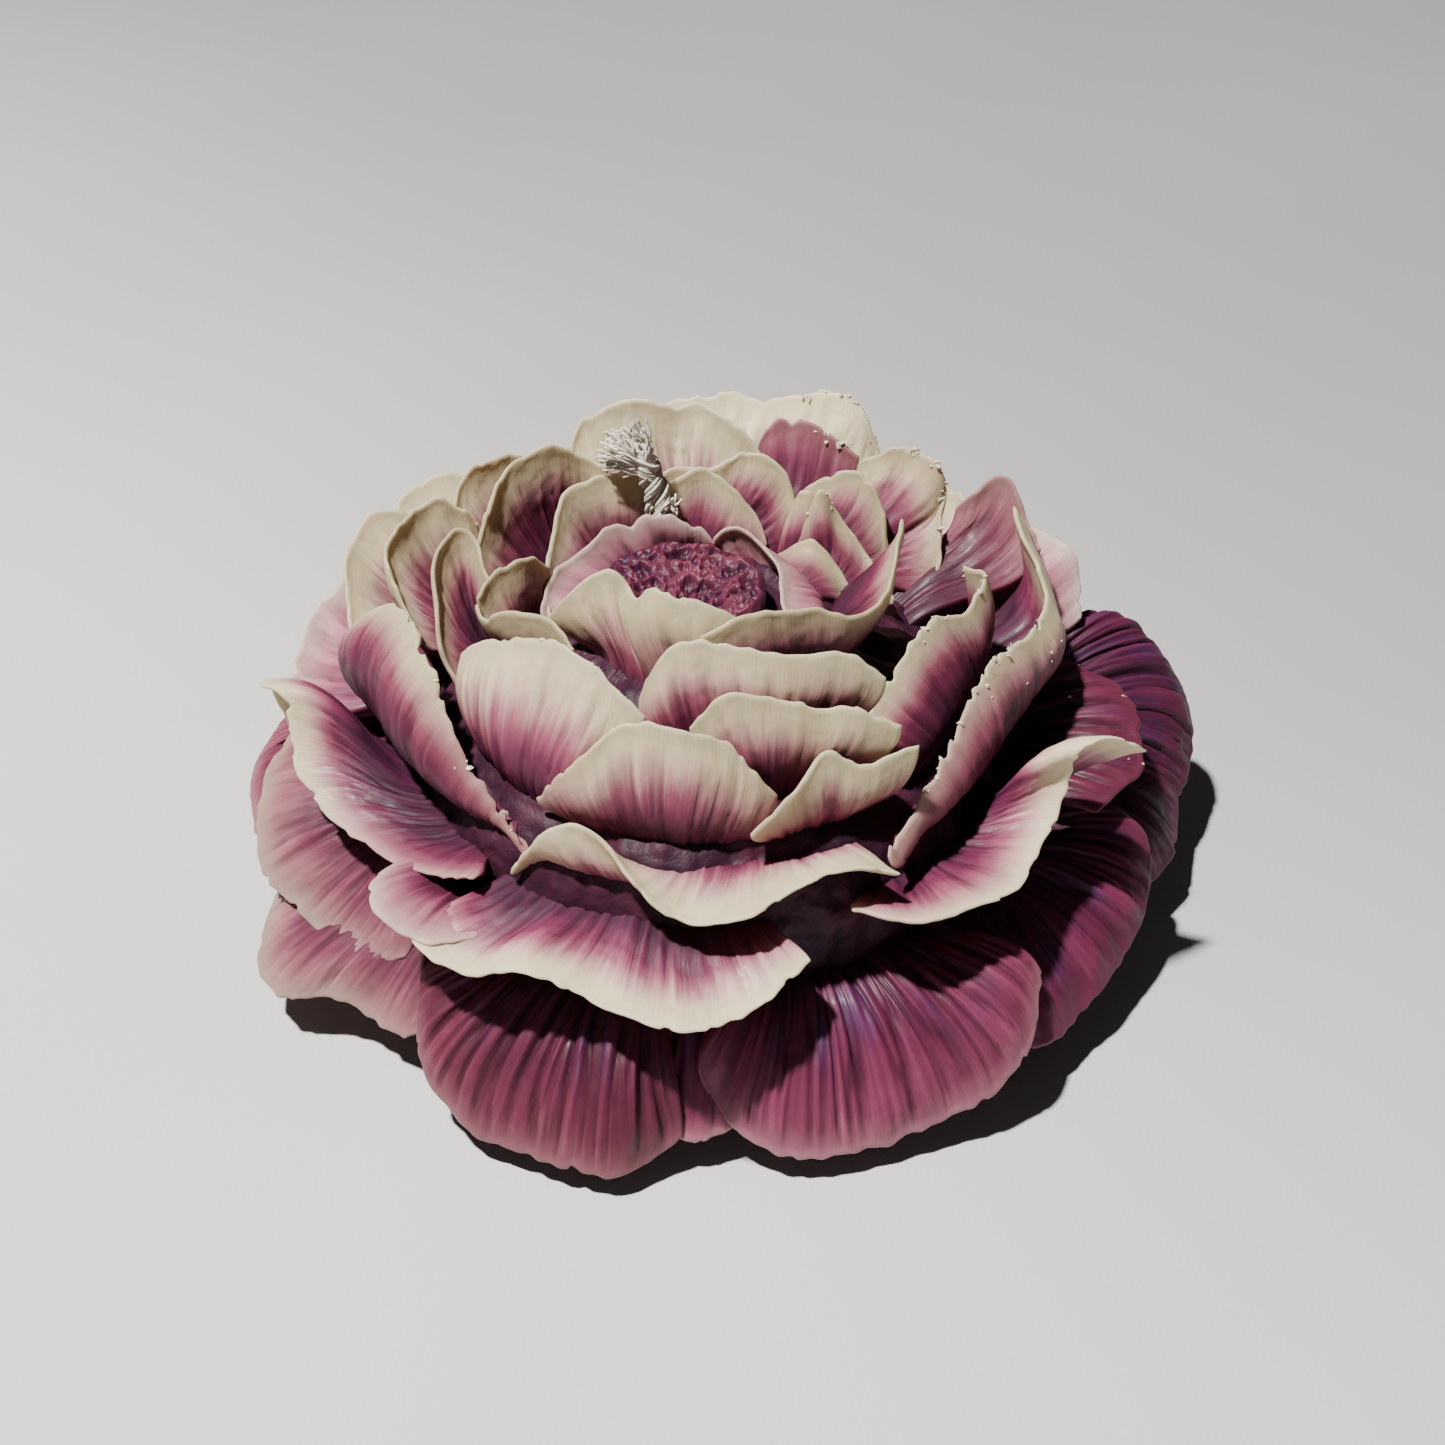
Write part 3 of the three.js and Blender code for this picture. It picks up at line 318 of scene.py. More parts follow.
def line_noise(noise, places, seed, row=0.0):
    """Noise of a height and a length along a line, which is a row of the noise over a sheet."""
    height, length = noise
    return height * value_noise(places / length, np.full(np.shape(places), row), seed)


def sheet_noise(noise, across, down, seed, octaves=1):
    """Noise of a height, a length across and a length down, with finer noise laid over it."""
    height, wide, long = noise
    total = 0.0
    for octave in range(octaves):
        scale = 2.0**octave
        total = total + value_noise(across / wide * scale, down / long * scale, seed + octave) / scale
    return height * total


def smooth_step(value, low, high):
    share = np.clip((value - low) / (high - low), 0, 1)
    return share * share * (3 - 2 * share)


def between(limits, share):
    return limits[0] + (limits[1] - limits[0]) * share


def flower_place(out, up):
    """A distance from the axis and a height, from shares of the flower's radius and height."""
    return out * FLOWER_RADIUS, up * FLOWER_HEIGHT


def around(azimuth, radius, height):
    """The point at an azimuth in degrees, a radius and a height."""
    turn = math.radians(azimuth)
    return np.array([radius * math.cos(turn), radius * math.sin(turn), height])


def spline(points):
    """A smooth curve through the points, as a dense line with the length run so far."""
    points = np.array(points, float)
    ends = np.vstack([2 * points[0] - points[1], points, 2 * points[-1] - points[-2]])
    share = np.linspace(0, 1, SPLINE_STEPS, endpoint=False)[:, None]
    stretches = []
    for start in range(len(points) - 1):
        before, here, there, after = ends[start : start + 4]
        slope = there - before
        bend = 2 * before - 5 * here + 4 * there - after
        twist = 3 * here - before - 3 * there + after
        stretches.append(0.5 * (2 * here + slope * share + bend * share**2 + twist * share**3))
    line = np.vstack(stretches + [points[-1:]])
    return line, length_run(line)


def length_run(line):
    """How far along a line each of its points is."""
    steps = np.linalg.norm(np.diff(line, axis=0), axis=1)
    return np.concatenate([[0], np.cumsum(steps)])


def along_line(line, run, places):
    return np.column_stack([np.interp(places, run, values) for values in line.T])


def unit(vectors):
    return vectors / np.maximum(np.linalg.norm(vectors, axis=-1, keepdims=True), 1e-9)


def directions(points, steepness):
    """The directions that are that many degrees above the outward level at the points."""
    rise = np.radians(steepness)[:, None]
    outward = unit(points * [1, 1, 0])
    return outward * np.cos(rise) + np.array([0, 0, 1]) * np.sin(rise)


def petal_seed(index):
    return 1000 + 50 * index


def ragged_rim(places, seed):
    """How far the rim stands out or falls short along its length."""
    ragged = np.zeros_like(places)
    for number, noise in enumerate(RIM_NOISES):
        ragged += line_noise(noise, places, seed + RIM_SEED + number)
    chips = line_noise(CHIP_NOISE, places, seed + CHIP_SEED)
    return ragged - CHIP_DEPTH * smooth_step(chips, *CHIP_LIMITS)


def petal_middle(petal, seed):
    """The sheet down a petal's middle, with how far each point is from the rim and the sides."""
    name, look, tier, foot, leave, arrive, rim = petal
    line, run = spline([around(turn, *flower_place(out / 100, up / 100)) for turn, out, up in rim])
    length = run[-1]
    step = GRAINS[look]["step"]
    sides = np.array(SIDE_STEPS)
    inner = np.arange(sides[-1] + step, length - sides[-1], step)
    places = np.concatenate([sides, inner, length - sides[::-1]])
    share = places / length
    tip = along_line(line, run, places)
    radius, height = flower_place(*TIERS[tier][:2])
    root = np.array([around(turn, radius - ROOT_DEPTH, height) for turn in between(foot, share)])
    straight = np.linalg.norm(tip - root, axis=1)
    reach = BELLIES.get(name, BELLY) * straight[:, None]
    leaving = root + reach * directions(root, np.full(len(share), float(leave)))
    arrival = np.interp(share, np.linspace(0, 1, len(arrive)), arrive)
    arriving = tip - reach * directions(tip, arrival)
    rise = 1 - (1 - np.linspace(0, 1, ROWS)) ** ROW_CROWDING
    rise = rise[:, None, None] * (1 + ragged_rim(places, seed) / straight)[None, :, None]
    fall = 1 - rise
    middle = fall**3 * root + 3 * fall**2 * rise * leaving
    middle = middle + 3 * fall * rise**2 * arriving + rise**3 * tip
    steps = np.linalg.norm(np.diff(middle, axis=0), axis=2)
    from_foot = np.vstack([np.zeros(len(share)), np.cumsum(steps, axis=0)])
    from_rim = from_foot[-1] - from_foot
    from_side = np.minimum(places, length - places)[None, :] + np.zeros_like(from_rim)
    across = places[None, :] + np.zeros_like(from_rim)
    return middle, across, from_rim, from_side, from_foot


def petal_faces(petal, seed):
    """The outer and inner faces of a petal's closed shell, and what its wax is coloured by."""
    grain = GRAINS[petal[1]]
    middle, across, from_rim, from_side, from_foot = petal_middle(petal, seed)
    along = unit(np.gradient(middle, axis=1))
    rising = unit(np.gradient(middle, axis=0))
    normal = unit(np.cross(along, rising))
    near_rim = 1 - smooth_step(from_rim, 0, WAVE_REACH)
    wave = sheet_noise(WAVE, across, from_rim, seed + WAVE_SEED) * near_rim
    middle = middle + normal * wave[:, :, None]
    share = from_foot / np.maximum(from_foot[-1], 1e-6)
    half = 0.5 * between((FOOT_THICKNESS, RIM_THICKNESS), share)
    half = half * between((THIN_SHARE, 1), smooth_step(from_rim, 0, THIN_REACH))
    half = half * (1 + sheet_noise(SWELLING, across, from_rim, seed + SWELLING_SEED))
    edge = np.clip(np.minimum(from_rim, from_side) / EDGE_ROUNDING, 0, 1)
    rounding = np.sqrt(np.clip(1 - (1 - edge) ** 2, LEAST_ROUNDING, 1))
    depth = smooth_step(np.minimum(from_rim, 2 * from_side), 0, grain["calm"])
    faces = []
    reliefs = []
    for side, face_seed in zip((1, -1), FACE_SEEDS):
        side_seed = seed + face_seed
        swayed = across + sheet_noise(WANDER, across, from_rim, side_seed)
        vein = value_noise(swayed / grain["spacing"], from_rim / VEIN_LENGTH, side_seed + 1)
        fine_spacing = FINE_SHARE * grain["spacing"]
        fine = value_noise(swayed / fine_spacing, from_rim / FINE_LENGTH, side_seed + 2)
        groove = np.exp(-((vein / GROOVE_WIDTH) ** 2))
        relief = VEIN_SHARES["vein"] * vein + VEIN_SHARES["fine"] * fine
        relief = (relief + VEIN_SHARES["level"] - VEIN_SHARES["groove"] * groove) * depth
        lump = sheet_noise(LUMPS, across, from_rim, side_seed + 3, 3) * depth
        rough = sheet_noise(ROUGHNESS, across, from_rim, side_seed + 6, 2)
        carving = relief * grain["veins"] + lump * grain["lumps"] + rough
        height = rounding * (half + carving)
        faces.append(middle + side * normal * height[:, :, None])
        reliefs.append(relief)
    return faces, reliefs, across, from_rim, from_foot


def ring_quads(index):
    """The quads between rows of points that each go once round."""
    after = np.roll(index, -1, axis=1)
    return np.stack([index[:-1], after[:-1], after[1:], index[1:]], axis=-1).reshape(-1, 4)


def shell_quads(rows, columns):
    """The quads of a closed shell with two faces and a strip round them."""
    offset = rows * columns
    index = np.arange(offset).reshape(rows, columns)
    corners = [index[:-1, :-1], index[:-1, 1:], index[1:, 1:], index[1:, :-1]]
    front = np.stack(corners, axis=-1).reshape(-1, 4)
    back = (front + offset)[:, ::-1]
    ring = np.concatenate([index[0, :-1], index[:-1, -1], index[-1, :0:-1], index[:0:-1, 0]])
    following = np.roll(ring, -1)
    strip = np.stack([ring, ring + offset, following + offset, following], axis=-1)
    return np.vstack([front, back, strip])


def add_object(name, data):
    made = bpy.data.objects.new(name, data)
    bpy.context.scene.collection.objects.link(made)
    return made


def mesh_of(name, points, quads):
    """A smooth mesh object from points in millimetres and quads, with its faces pointing out."""
    corners = points[quads]
    middle = corners.mean(axis=1)
    spread = np.cross(corners[:, 2] - corners[:, 0], corners[:, 3] - corners[:, 1])
    if np.sum(middle * spread) < 0:
        quads = quads[:, ::-1]
    mesh = bpy.data.meshes.new(name)
    mesh.from_pydata(points * MM, [], quads)
    mesh.shade_smooth()
    mesh.validate()
    return add_object(name, mesh)


def set_values(piece, name, values):
    attribute = piece.data.attributes.new(name, "FLOAT", "POINT")
    attribute.data.foreach_set("value", np.asarray(values, np.float32).ravel())


def finish_piece(piece, material, slot, *nodes):
    """Gives a piece its material, lets it stand for its solids and ride on the body."""
    piece.data.materials.append(material)
    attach(piece, BODY)
    if nodes:
        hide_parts(*nodes)


# How deep the rim's colour reaches, as a share of the petal's length within limits
FADES = {"cream": 0.42, "rose": 0.42, "plum": 0.6}
FADE_LIMITS = {"cream": (5.5, 11.5), "rose": (6.0, 12.5), "plum": (9.0, 18.0)}

# How far down the ramp a rim starts where the petal is short, as it was dipped in the dye, and the
# shares of its greatest length between which it counts as short
DIP_SHARE = 0.3
SHORT_LIMITS = (0.35, 0.85)

# How far the streaks of one petal, and of one face, lie from those of the next
PETAL_SHIFT = 97.0
FACE_SHIFT = 41.0

# How some petals differ: their fade as a share of the usual, how far down the ramp their rim starts,
# which is darker dye and on some petals painted shade too, and how pale they are beside their ring,
# which is partly painted light and shade
PETAL_CHANGES = {
    "heart_petal_front": (1.5, 0, 0.95),
    "heart_petal_back": (0.9, 0, 1.05),
    "heart_petal_right": (1.2, 0, 1.05),
    "curl_petal_left_back": (0.9, 0, 0.82),
    "curl_petal_left_front": (0.9, 0, 0.82),
    "blade_petal_left": (0.9, 0, 0.82),
    "bud_petal_right": (0.8, 0.5, 0.9),
    "bud_petal_front_right": (0.8, 0.5, 0.9),
    "bud_petal_back": (0.8, 0, 1),
    "blade_petal_right": (0.8, 0.5, 0.95),
    "blade_petal_right_back": (0.8, 0.5, 0.95),
    "cup_petal_back_right": (0.8, 0.5, 0.95),
    "inner_petal_back": (0.75, 0, 1.05),
    "crown_petal_back_left": (1.5, 0, 1.15),
    "crown_petal_back": (1.6, 0, 1.3),
    "mid_petal_back_left": (1, 0, 0.98),
    "mid_petal_right": (0.75, 0.5, 0.98),
    "blush_petal_back": (1, 2, 0.9),
    "bowl_petal_left": (1.35, 0, 1.1),
    "bowl_petal_front_left": (1.2, 0, 1),
    "bowl_petal_back_right": (1.4, 2.5, 0.8),
    "outer_petal_left": (0.85, 0.7, 0.84),
    "skirt_petal_left": (0.8, 0.7, 0.92),
    "skirt_petal_front_left": (0.9, 0, 0.97),
    "skirt_petal_right": (1, 4.5, 0.8),
    "base_petal_left": (1, 0, 0.7),
    "base_petal_right": (1.1, 20, 0.9),
    "base_petal_back_right": (1, 5, 0.9),
    "base_petal_front_left": (1, 0, 0.64),
    "low_petal_left": (1, 0, 0.62),
    "low_petal_right": (1, 6, 1),
}


def make_petal(petal, index, material):
    name, look, tier = petal[:3]
    faces, reliefs, across, from_rim, from_foot = petal_faces(petal, petal_seed(index))
    points = np.concatenate([face.reshape(-1, 3) for face in faces])
    piece = mesh_of("wax_" + name, points, shell_quads(*across.shape))
    wider, deeper, tone_with_painted_light = PETAL_CHANGES.get(name, (1, 0, 1))
    lengths = from_foot[-1]
    fade = wider * np.clip(FADES[look] * lengths.mean(), *FADE_LIMITS[look])
    shortness = 1 - smooth_step(lengths / lengths.max(), *SHORT_LIMITS)
    # How far down the ramp the rim starts: darker dye, and on some petals painted shade as well
    start = deeper / (2 * fade) + DIP_SHARE * shortness + np.zeros_like(across)
    column = across.ravel() + PETAL_SHIFT * index
    set_values(piece, "from_rim", np.tile(from_rim.ravel(), 2))
    set_values(piece, "across", np.concatenate([column, column + FACE_SHIFT]))
    set_values(piece, "relief", np.concatenate([relief.ravel() for relief in reliefs]))
    set_values(piece, "deeper", np.tile(start.ravel(), 2))
    set_values(piece, "fade", np.full(2 * across.size, fade))
    # The tone is the wax's paleness together with painted light and shade for this petal
    set_values(piece, "tone", np.full(2 * across.size, tone_with_painted_light * TIERS[tier][2]))
    finish_piece(piece, material, "wax_" + look, name)


class Graph:
    """A material's nodes, added one by one, with numbers set on sockets or links made to them."""

    def __init__(self, name):
        self.material = bpy.data.materials.new(name)
        self.material.use_nodes = True
        self.tree = self.material.node_tree
        self.tree.nodes.clear()
        self.place = self.add("TexCoord").outputs["Object"]

    def add(self, kind, inputs=None, **settings):
        node = self.tree.nodes.new("ShaderNode" + kind)
        for key, value in settings.items():
            setattr(node, key, value)
        for key, value in (inputs or {}).items():
            self.feed(node.inputs[key], value)
        return node

    def feed(self, socket, value):
        if isinstance(value, bpy.types.NodeSocket):
            self.tree.links.new(value, socket)
        else:
            socket.default_value = value

    def math(self, operation, *values):
        return self.add("Math", dict(enumerate(values)), operation=operation).outputs[0]

    def plus(self, first, second):
        return self.math("ADD", first, second)

    def times(self, *values):
        product = values[0]
        for value in values[1:]:
            product = self.math("MULTIPLY", product, value)
        return product

    def spread(self, value, low, high, start=0.0, end=1.0, curve="LINEAR"):
        """Where a value stands between two others, from start to end."""
        inputs = {0: value, 1: low, 2: high, 3: start, 4: end}
        return self.add("MapRange", inputs, interpolation_type=curve).outputs[0]

    def ramp(self, value, stops):
        node = self.add("ValToRGB", {0: value})
        points = node.color_ramp.elements
        while len(points) < len(stops):
            points.new(0.5)
        for point, (place, colour) in zip(points, stops):
            point.position = place
            point.color = (*colour, 1)
        return node.outputs[0]

    def blend(self, factor, first, second, mode="MIX"):
        inputs = {0: factor, 6: first, 7: second}
        return self.add("Mix", data_type="RGBA", blend_type=mode, inputs=inputs).outputs[2]

    def shade(self, colour, red, green, blue):
        """The colour with its red, green and blue each times an amount."""
        return self.blend(1.0, colour, self.vector(red, green, blue), "MULTIPLY")

    def dim(self, colour, amount):
        return self.shade(colour, amount, amount, amount)

    def noise(self, scale, detail=3.0, roughness=0.6, place=None):
        place = self.place if place is None else place
        inputs = {"Vector": place, "Scale": scale, "Detail": detail, "Roughness": roughness}
        return self.add("TexNoise", inputs).outputs[0]

    def attribute(self, name):
        return self.add("Attribute", attribute_name=name).outputs["Fac"]

    def vector(self, x, y, z):
        return self.add("CombineXYZ", {0: x, 1: y, 2: z}).outputs[0]

    def finish(self, colour, inputs, bump=None, **settings):
        """The material of a colour, and of a bump's height, strength and distance if it has one."""
        inputs = {"Base Color": colour, **inputs}
        if bump:
            height, strength, distance = bump
            bumps = {"Height": height, "Strength": strength, "Distance": distance}
            inputs["Normal"] = self.add("Bump", bumps).outputs[0]
        shader = self.add("BsdfPrincipled", inputs, **settings)
        self.add("OutputMaterial", {"Surface": shader.outputs[0]})
        return self.material


# Colours down a petal, by its distance from the rim as a share of two fades
WAX_STOPS = {
    "cream": (
        (0.0, (0.645, 0.56, 0.37)),
        (0.14, (0.63, 0.54, 0.345)),
        (0.25, (0.57, 0.44, 0.32)),
        (0.37, (0.43, 0.24, 0.235)),
        (0.51, (0.25, 0.072, 0.112)),
        (0.67, (0.12, 0.019, 0.052)),
        (1.0, (0.045, 0.008, 0.027)),
    ),
    "rose": (
        (0.0, (0.54, 0.41, 0.36)),
        (0.08, (0.48, 0.30, 0.30)),
        (0.2, (0.37, 0.15, 0.19)),
        (0.4, (0.20, 0.048, 0.098)),
        (0.62, (0.10, 0.016, 0.046)),
        (1.0, (0.05, 0.009, 0.030)),
    ),
    "plum": (
        (0.0, (0.36, 0.16, 0.20)),
        (0.06, (0.25, 0.078, 0.12)),
        (0.15, (0.155, 0.030, 0.066)),
        (0.45, (0.098, 0.014, 0.042)),
        (0.75, (0.065, 0.010, 0.035)),
        (1.0, (0.042, 0.008, 0.029)),
    ),
}
INDIGO = (0.035, 0.022, 0.10, 1)

# Colours of the other materials, by how high their noise is
# The core's colours: deep purple wax darkened almost to black, partly as painted shade between the petals
CORE_STOPS = ((0.3, (0.012, 0.004, 0.012)), (0.5, (0.028, 0.006, 0.017)), (0.72, (0.055, 0.011, 0.027)))
# Painted shade: the colours of the heart's pits, darker than its foam
PIT_SHADE_STOPS = ((0.35, (0.022, 0.004, 0.018)), (0.65, (0.06, 0.009, 0.026)))
FOAM_STOPS = ((0.35, (0.08, 0.014, 0.036)), (0.65, (0.145, 0.030, 0.056)))
CRUMB_STOPS = ((0.35, (0.50, 0.41, 0.32)), (0.65, (0.68, 0.60, 0.50)))
COTTON_STOPS = ((0.3, (0.36, 0.32, 0.26)), (0.5, (0.54, 0.50, 0.42)), (0.7, (0.70, 0.66, 0.58)))
STEEL_STOPS = ((0.3, (0.42, 0.42, 0.42)), (0.7, (0.6, 0.6, 0.6)))
FLOOR_STOPS = ((0.3, (0.53, 0.535, 0.54)), (0.7, (0.575, 0.58, 0.585)))

# How hard the streaks pull the colours down a petal, how hard its bluish patches show, and where on
# the ramp they start
STREAKS = {"cream": 0.3, "rose": 0.36, "plum": 0.42}
SWAY = 0.35
PATCHES = {"cream": (0.05, 0.6), "rose": (0.08, 0.5), "plum": (0.5, 0.2)}
PATCH_BLEND = 0.3


def wax_material(look):
    """Wax dyed from the rim to the foot, with streaks down it, bluish patches, painted shade in its
    grooves and painted light on its ridges.
    """
    graph = Graph("wax_" + look)
    rim = graph.attribute("from_rim")
    across = graph.attribute("across")
    tone = graph.attribute("tone")

    def petal_noise(wide, long, layer, detail=2.0, roughness=0.6):
        place = graph.vector(graph.times(across, wide), graph.times(rim, long), layer)
        return graph.noise(1.0, detail, roughness, place)

    streak = petal_noise(1.6, 0.05, 0.0)
    broad = petal_noise(0.16, 0.12, 5.0, roughness=0.5)
    patch = graph.spread(petal_noise(0.28, 0.1, 9.0, detail=3.0), 0.5, 0.72)
    scratch = petal_noise(3.4, 0.2, 3.0)
    window = graph.spread(rim, 1.0, 6.0, curve="SMOOTHSTEP")
    share = graph.math("DIVIDE", rim, graph.times(graph.attribute("fade"), 2.0))
    share = graph.plus(share, graph.attribute("deeper"))
    for noise, pull in ((streak, STREAKS[look]), (broad, SWAY)):
        share = graph.plus(share, graph.times(graph.math("SUBTRACT", noise, 0.5), pull, window))
    colour = graph.ramp(share, WAX_STOPS[look])
    indigo, start = PATCHES[look]
    deep = graph.spread(share, start, start + PATCH_BLEND)
    colour = graph.blend(graph.times(patch, deep, indigo), colour, INDIGO)
    # Painted shade and light: the colour is darkened in the grooves of the veins and lightened on their
    # ridges
    colour = graph.dim(colour, graph.spread(graph.attribute("relief"), -0.6, 0.6, 0.6, 1.3))
    # Each petal's tone darkens and warms it, partly as painted light and shade
    green, blue = (graph.math("POWER", tone, power) for power in (1.1, 1.25))
    colour = graph.shade(colour, tone, green, blue)
    colour = graph.dim(colour, graph.spread(graph.noise(420.0, 4.0), 0.25, 0.75, 0.9, 1.1))
    inputs = {
        "Roughness": graph.spread(graph.noise(900.0, 3.0, 0.5), 0.3, 0.7, 0.4, 0.6),
        "IOR": 1.45,
        "Subsurface Weight": 0.3,
        "Subsurface Radius": (1.0, 0.85, 0.8),
        "Subsurface Scale": 0.002,
        "Specular IOR Level": 0.25,
        "Coat Weight": 0.03,
        "Coat Roughness": 0.2,
    }
    height = graph.plus(graph.times(graph.noise(2600.0), 0.35), scratch)
    return graph.finish(colour, inputs, (height, 0.22, 0.0003), subsurface_method="RANDOM_WALK")


def core_material():
    """Deep purple wax darkened almost to black as painted shade between the petals, with painted light
    that lightens its raised creases.
    """
    graph = Graph("wax_core")
    # Painted light: the core's colour is lightened where its creases stand up
    creases = graph.times(graph.attribute("relief"), 0.06)
    tone = graph.plus(graph.noise(150.0, 4.0), creases)
    inputs = {"Roughness": 0.55, "Specular IOR Level": 0.2}
    bump = (graph.noise(1200.0), 0.4, 0.0004)
    return graph.finish(graph.ramp(tone, CORE_STOPS), inputs, bump)


def heart_material():
    """Crumbled wax: purple-pink, with painted shade that darkens its pits."""
    graph = Graph("wax_heart")
    cloud = graph.noise(180.0)
    deep = graph.ramp(cloud, PIT_SHADE_STOPS)
    high = graph.ramp(cloud, FOAM_STOPS)
    inputs = {
        "Roughness": 0.45,
        "Specular IOR Level": 0.2,
        "Subsurface Weight": 0.3,
        "Subsurface Scale": 0.0012,
        "Coat Weight": 0.02,
        "Coat Roughness": 0.3,
    }
    # Painted shade: the foam's colour gives way to the darker pit colours below the bowl's brim
    colour = graph.blend(graph.attribute("pit_shade"), deep, high)
    return graph.finish(colour, inputs, (graph.noise(1900.0), 0.3, 0.0003))


def crumb_material():
    graph = Graph("wax_crumb")
    colour = graph.ramp(graph.noise(700.0, 2.0, 0.5), CRUMB_STOPS)
    inputs = {"Roughness": 0.5, "Subsurface Weight": 0.3, "Subsurface Scale": 0.0006}
    return graph.finish(colour, inputs)


def cotton_material():
    """Greyed cotton fibres that old wax has soaked."""
    graph = Graph("wick_cotton")
    soaked = graph.ramp(graph.noise(320.0), COTTON_STOPS)
    colour = graph.dim(soaked, graph.attribute("tone"))
    inputs = {"Roughness": 0.72, "Sheen Weight": 0.3, "Sheen Roughness": 0.4}
    return graph.finish(colour, inputs, (graph.noise(5200.0, 2.0), 0.5, 0.0001))


def steel_material():
    graph = Graph("tab_steel")
    drawn = graph.add("Mapping", {"Vector": graph.place, "Scale": (1, 14, 1)}).outputs[0]
    brushed = graph.noise(500.0, place=drawn)
    inputs = {"Metallic": 1.0, "Roughness": graph.spread(brushed, 0.3, 0.7, 0.28, 0.46)}
    return graph.finish(graph.ramp(brushed, STEEL_STOPS), inputs, (brushed, 0.15, 0.0001))


def floor_material():
    """Pale paper, with painted light falloff that dims it towards the right and the back."""
    graph = Graph("floor")
    axes = graph.add("SeparateXYZ", {0: graph.place})
    away = graph.plus(axes.outputs[0], axes.outputs[1])
    # Painted light falloff: the paper's colour is dimmed towards the right and the back
    dim = graph.spread(away, -0.13, 0.22, 1.02, 0.56, "SMOOTHSTEP")
    colour = graph.dim(graph.ramp(graph.noise(9.0, 3.0, 0.5), FLOOR_STOPS), dim)
    bump = (graph.noise(1500.0), 0.25, 0.0002)
    return graph.finish(colour, {"Roughness": 0.85}, bump)


# The heart: wax that foamed and set in a shallow bowl, all pits of burst bubbles. Its swells are how
# high they stand, how many go round and how far they are turned.
PIT_SEED = 5
PITS = 260
PIT_RADII = (0.3, 1.0)
PIT_STRENGTHS = (0.4, 1.3)
PIT_SLOPE = 1.1
PIT_POWER = 0.8
BOWL_LIMITS = (0.1, 0.9)
# How far below and above the bowl's brim the painted shade of the pits fades out
PIT_SHADE_LIMITS = (-0.8, 0.3)
HEART_STEP = 0.13
HEART_SWELLS = ((0.4, 1, 0.0), (0.4, 2, 0.9), (0.25, 3, 2.0))
HEART_LUMPS = (0.25, 2.4, 2.4)
HEART_GRAIN = (0.22, 0.8, 0.8)
PIT_BEND = (0.3, 0.9, 0.9)
BRIM_INSET = 0.15
BRIM_WIDTH = 1.05
BRIM_DROP = 0.7
PIT_MARGIN = 0.6
MERGE_DISTANCE = 1e-7


def bowl_height(distance, turn):
    """The height of the heart's top at a distance from its middle, before the pits."""
    share = distance / HEART_RADIUS
    swell = sum(high * np.sin(count * turn + shift) for high, count, shift in HEART_SWELLS)
    return between((HEART_MIDDLE, HEART_TOP), smooth_step(share, *BOWL_LIMITS)) + swell * share


def pit_depths(x, y):
    """How deep the deepest pit is at each place of the heart."""
    random = np.random.default_rng(PIT_SEED)
    bent_x = x + sheet_noise(PIT_BEND, x, y, PIT_SEED + 2, 3)
    bent_y = y + sheet_noise(PIT_BEND, x, y, PIT_SEED + 3, 3)
    deepest = np.zeros_like(x)
    for _ in range(PITS):
        reach = (HEART_RADIUS - PIT_MARGIN) * math.sqrt(random.uniform())
        angle = random.uniform(0, 2 * math.pi)
        radius = between(PIT_RADII, random.uniform() ** 2)
        span = np.hypot(bent_x - reach * math.cos(angle), bent_y - reach * math.sin(angle)) / radius
        dent = np.clip(1 - span**2, 0, 1) ** PIT_POWER
        deepest = np.maximum(deepest, PIT_SLOPE * radius * dent * random.uniform(*PIT_STRENGTHS))
    return deepest


def make_heart(material):
    count = int(HEART_RADIUS / HEART_STEP)
    brim_end = HEART_RADIUS - BRIM_INSET
    rings = np.linspace(0, brim_end, count)
    turns = np.linspace(0, 2 * math.pi, 5 * count, endpoint=False)
    distance, turn = np.meshgrid(rings, turns, indexing="ij")
    x = distance * np.cos(turn)
    y = distance * np.sin(turn)
    height = bowl_height(distance, turn) + sheet_noise(HEART_LUMPS, x, y, PIT_SEED, 3)
    height = height + sheet_noise(HEART_GRAIN, x, y, PIT_SEED + 1, 3)
    edge = smooth_step(distance, brim_end - BRIM_WIDTH, brim_end)
    top = height - pit_depths(x, y) * (1 - edge) - BRIM_DROP * edge
    rows = np.stack([x + HEART_PLACE[0], y + HEART_PLACE[1], top], axis=-1)
    foot = rows[-1:].copy()
    foot[..., 2] = HEART_FLOOR
    points = np.concatenate([rows, foot]).reshape(-1, 3)
    index = np.arange(len(points)).reshape(count + 1, -1)
    after = np.roll(index, -1, axis=1)
    quads = np.stack([index[:-1], index[1:], after[1:], after[:-1]], axis=-1).reshape(-1, 4)
    piece = mesh_of("wax_heart_foam", points, quads)
    sealed = bmesh.new()
    sealed.from_mesh(piece.data)
    bmesh.ops.remove_doubles(sealed, verts=sealed.verts, dist=MERGE_DISTANCE)
    bmesh.ops.holes_fill(sealed, edges=sealed.edges)
    bmesh.ops.recalc_face_normals(sealed, faces=sealed.faces)
    sealed.to_mesh(piece.data)
    sealed.free()
    heights = np.array([vert.co for vert in piece.data.vertices]) / MM
    offset = heights[:, :2] - np.array(HEART_PLACE)
    brim = bowl_height(np.hypot(*offset.T), np.arctan2(offset[:, 1], offset[:, 0]))
    # Painted shade: where the heart lies below its bowl's brim it is coloured as a pit
    set_values(piece, "pit_shade", smooth_step(heights[:, 2] - brim, *PIT_SHADE_LIMITS))
    finish_piece(piece, material, "wax_heart", "heart")


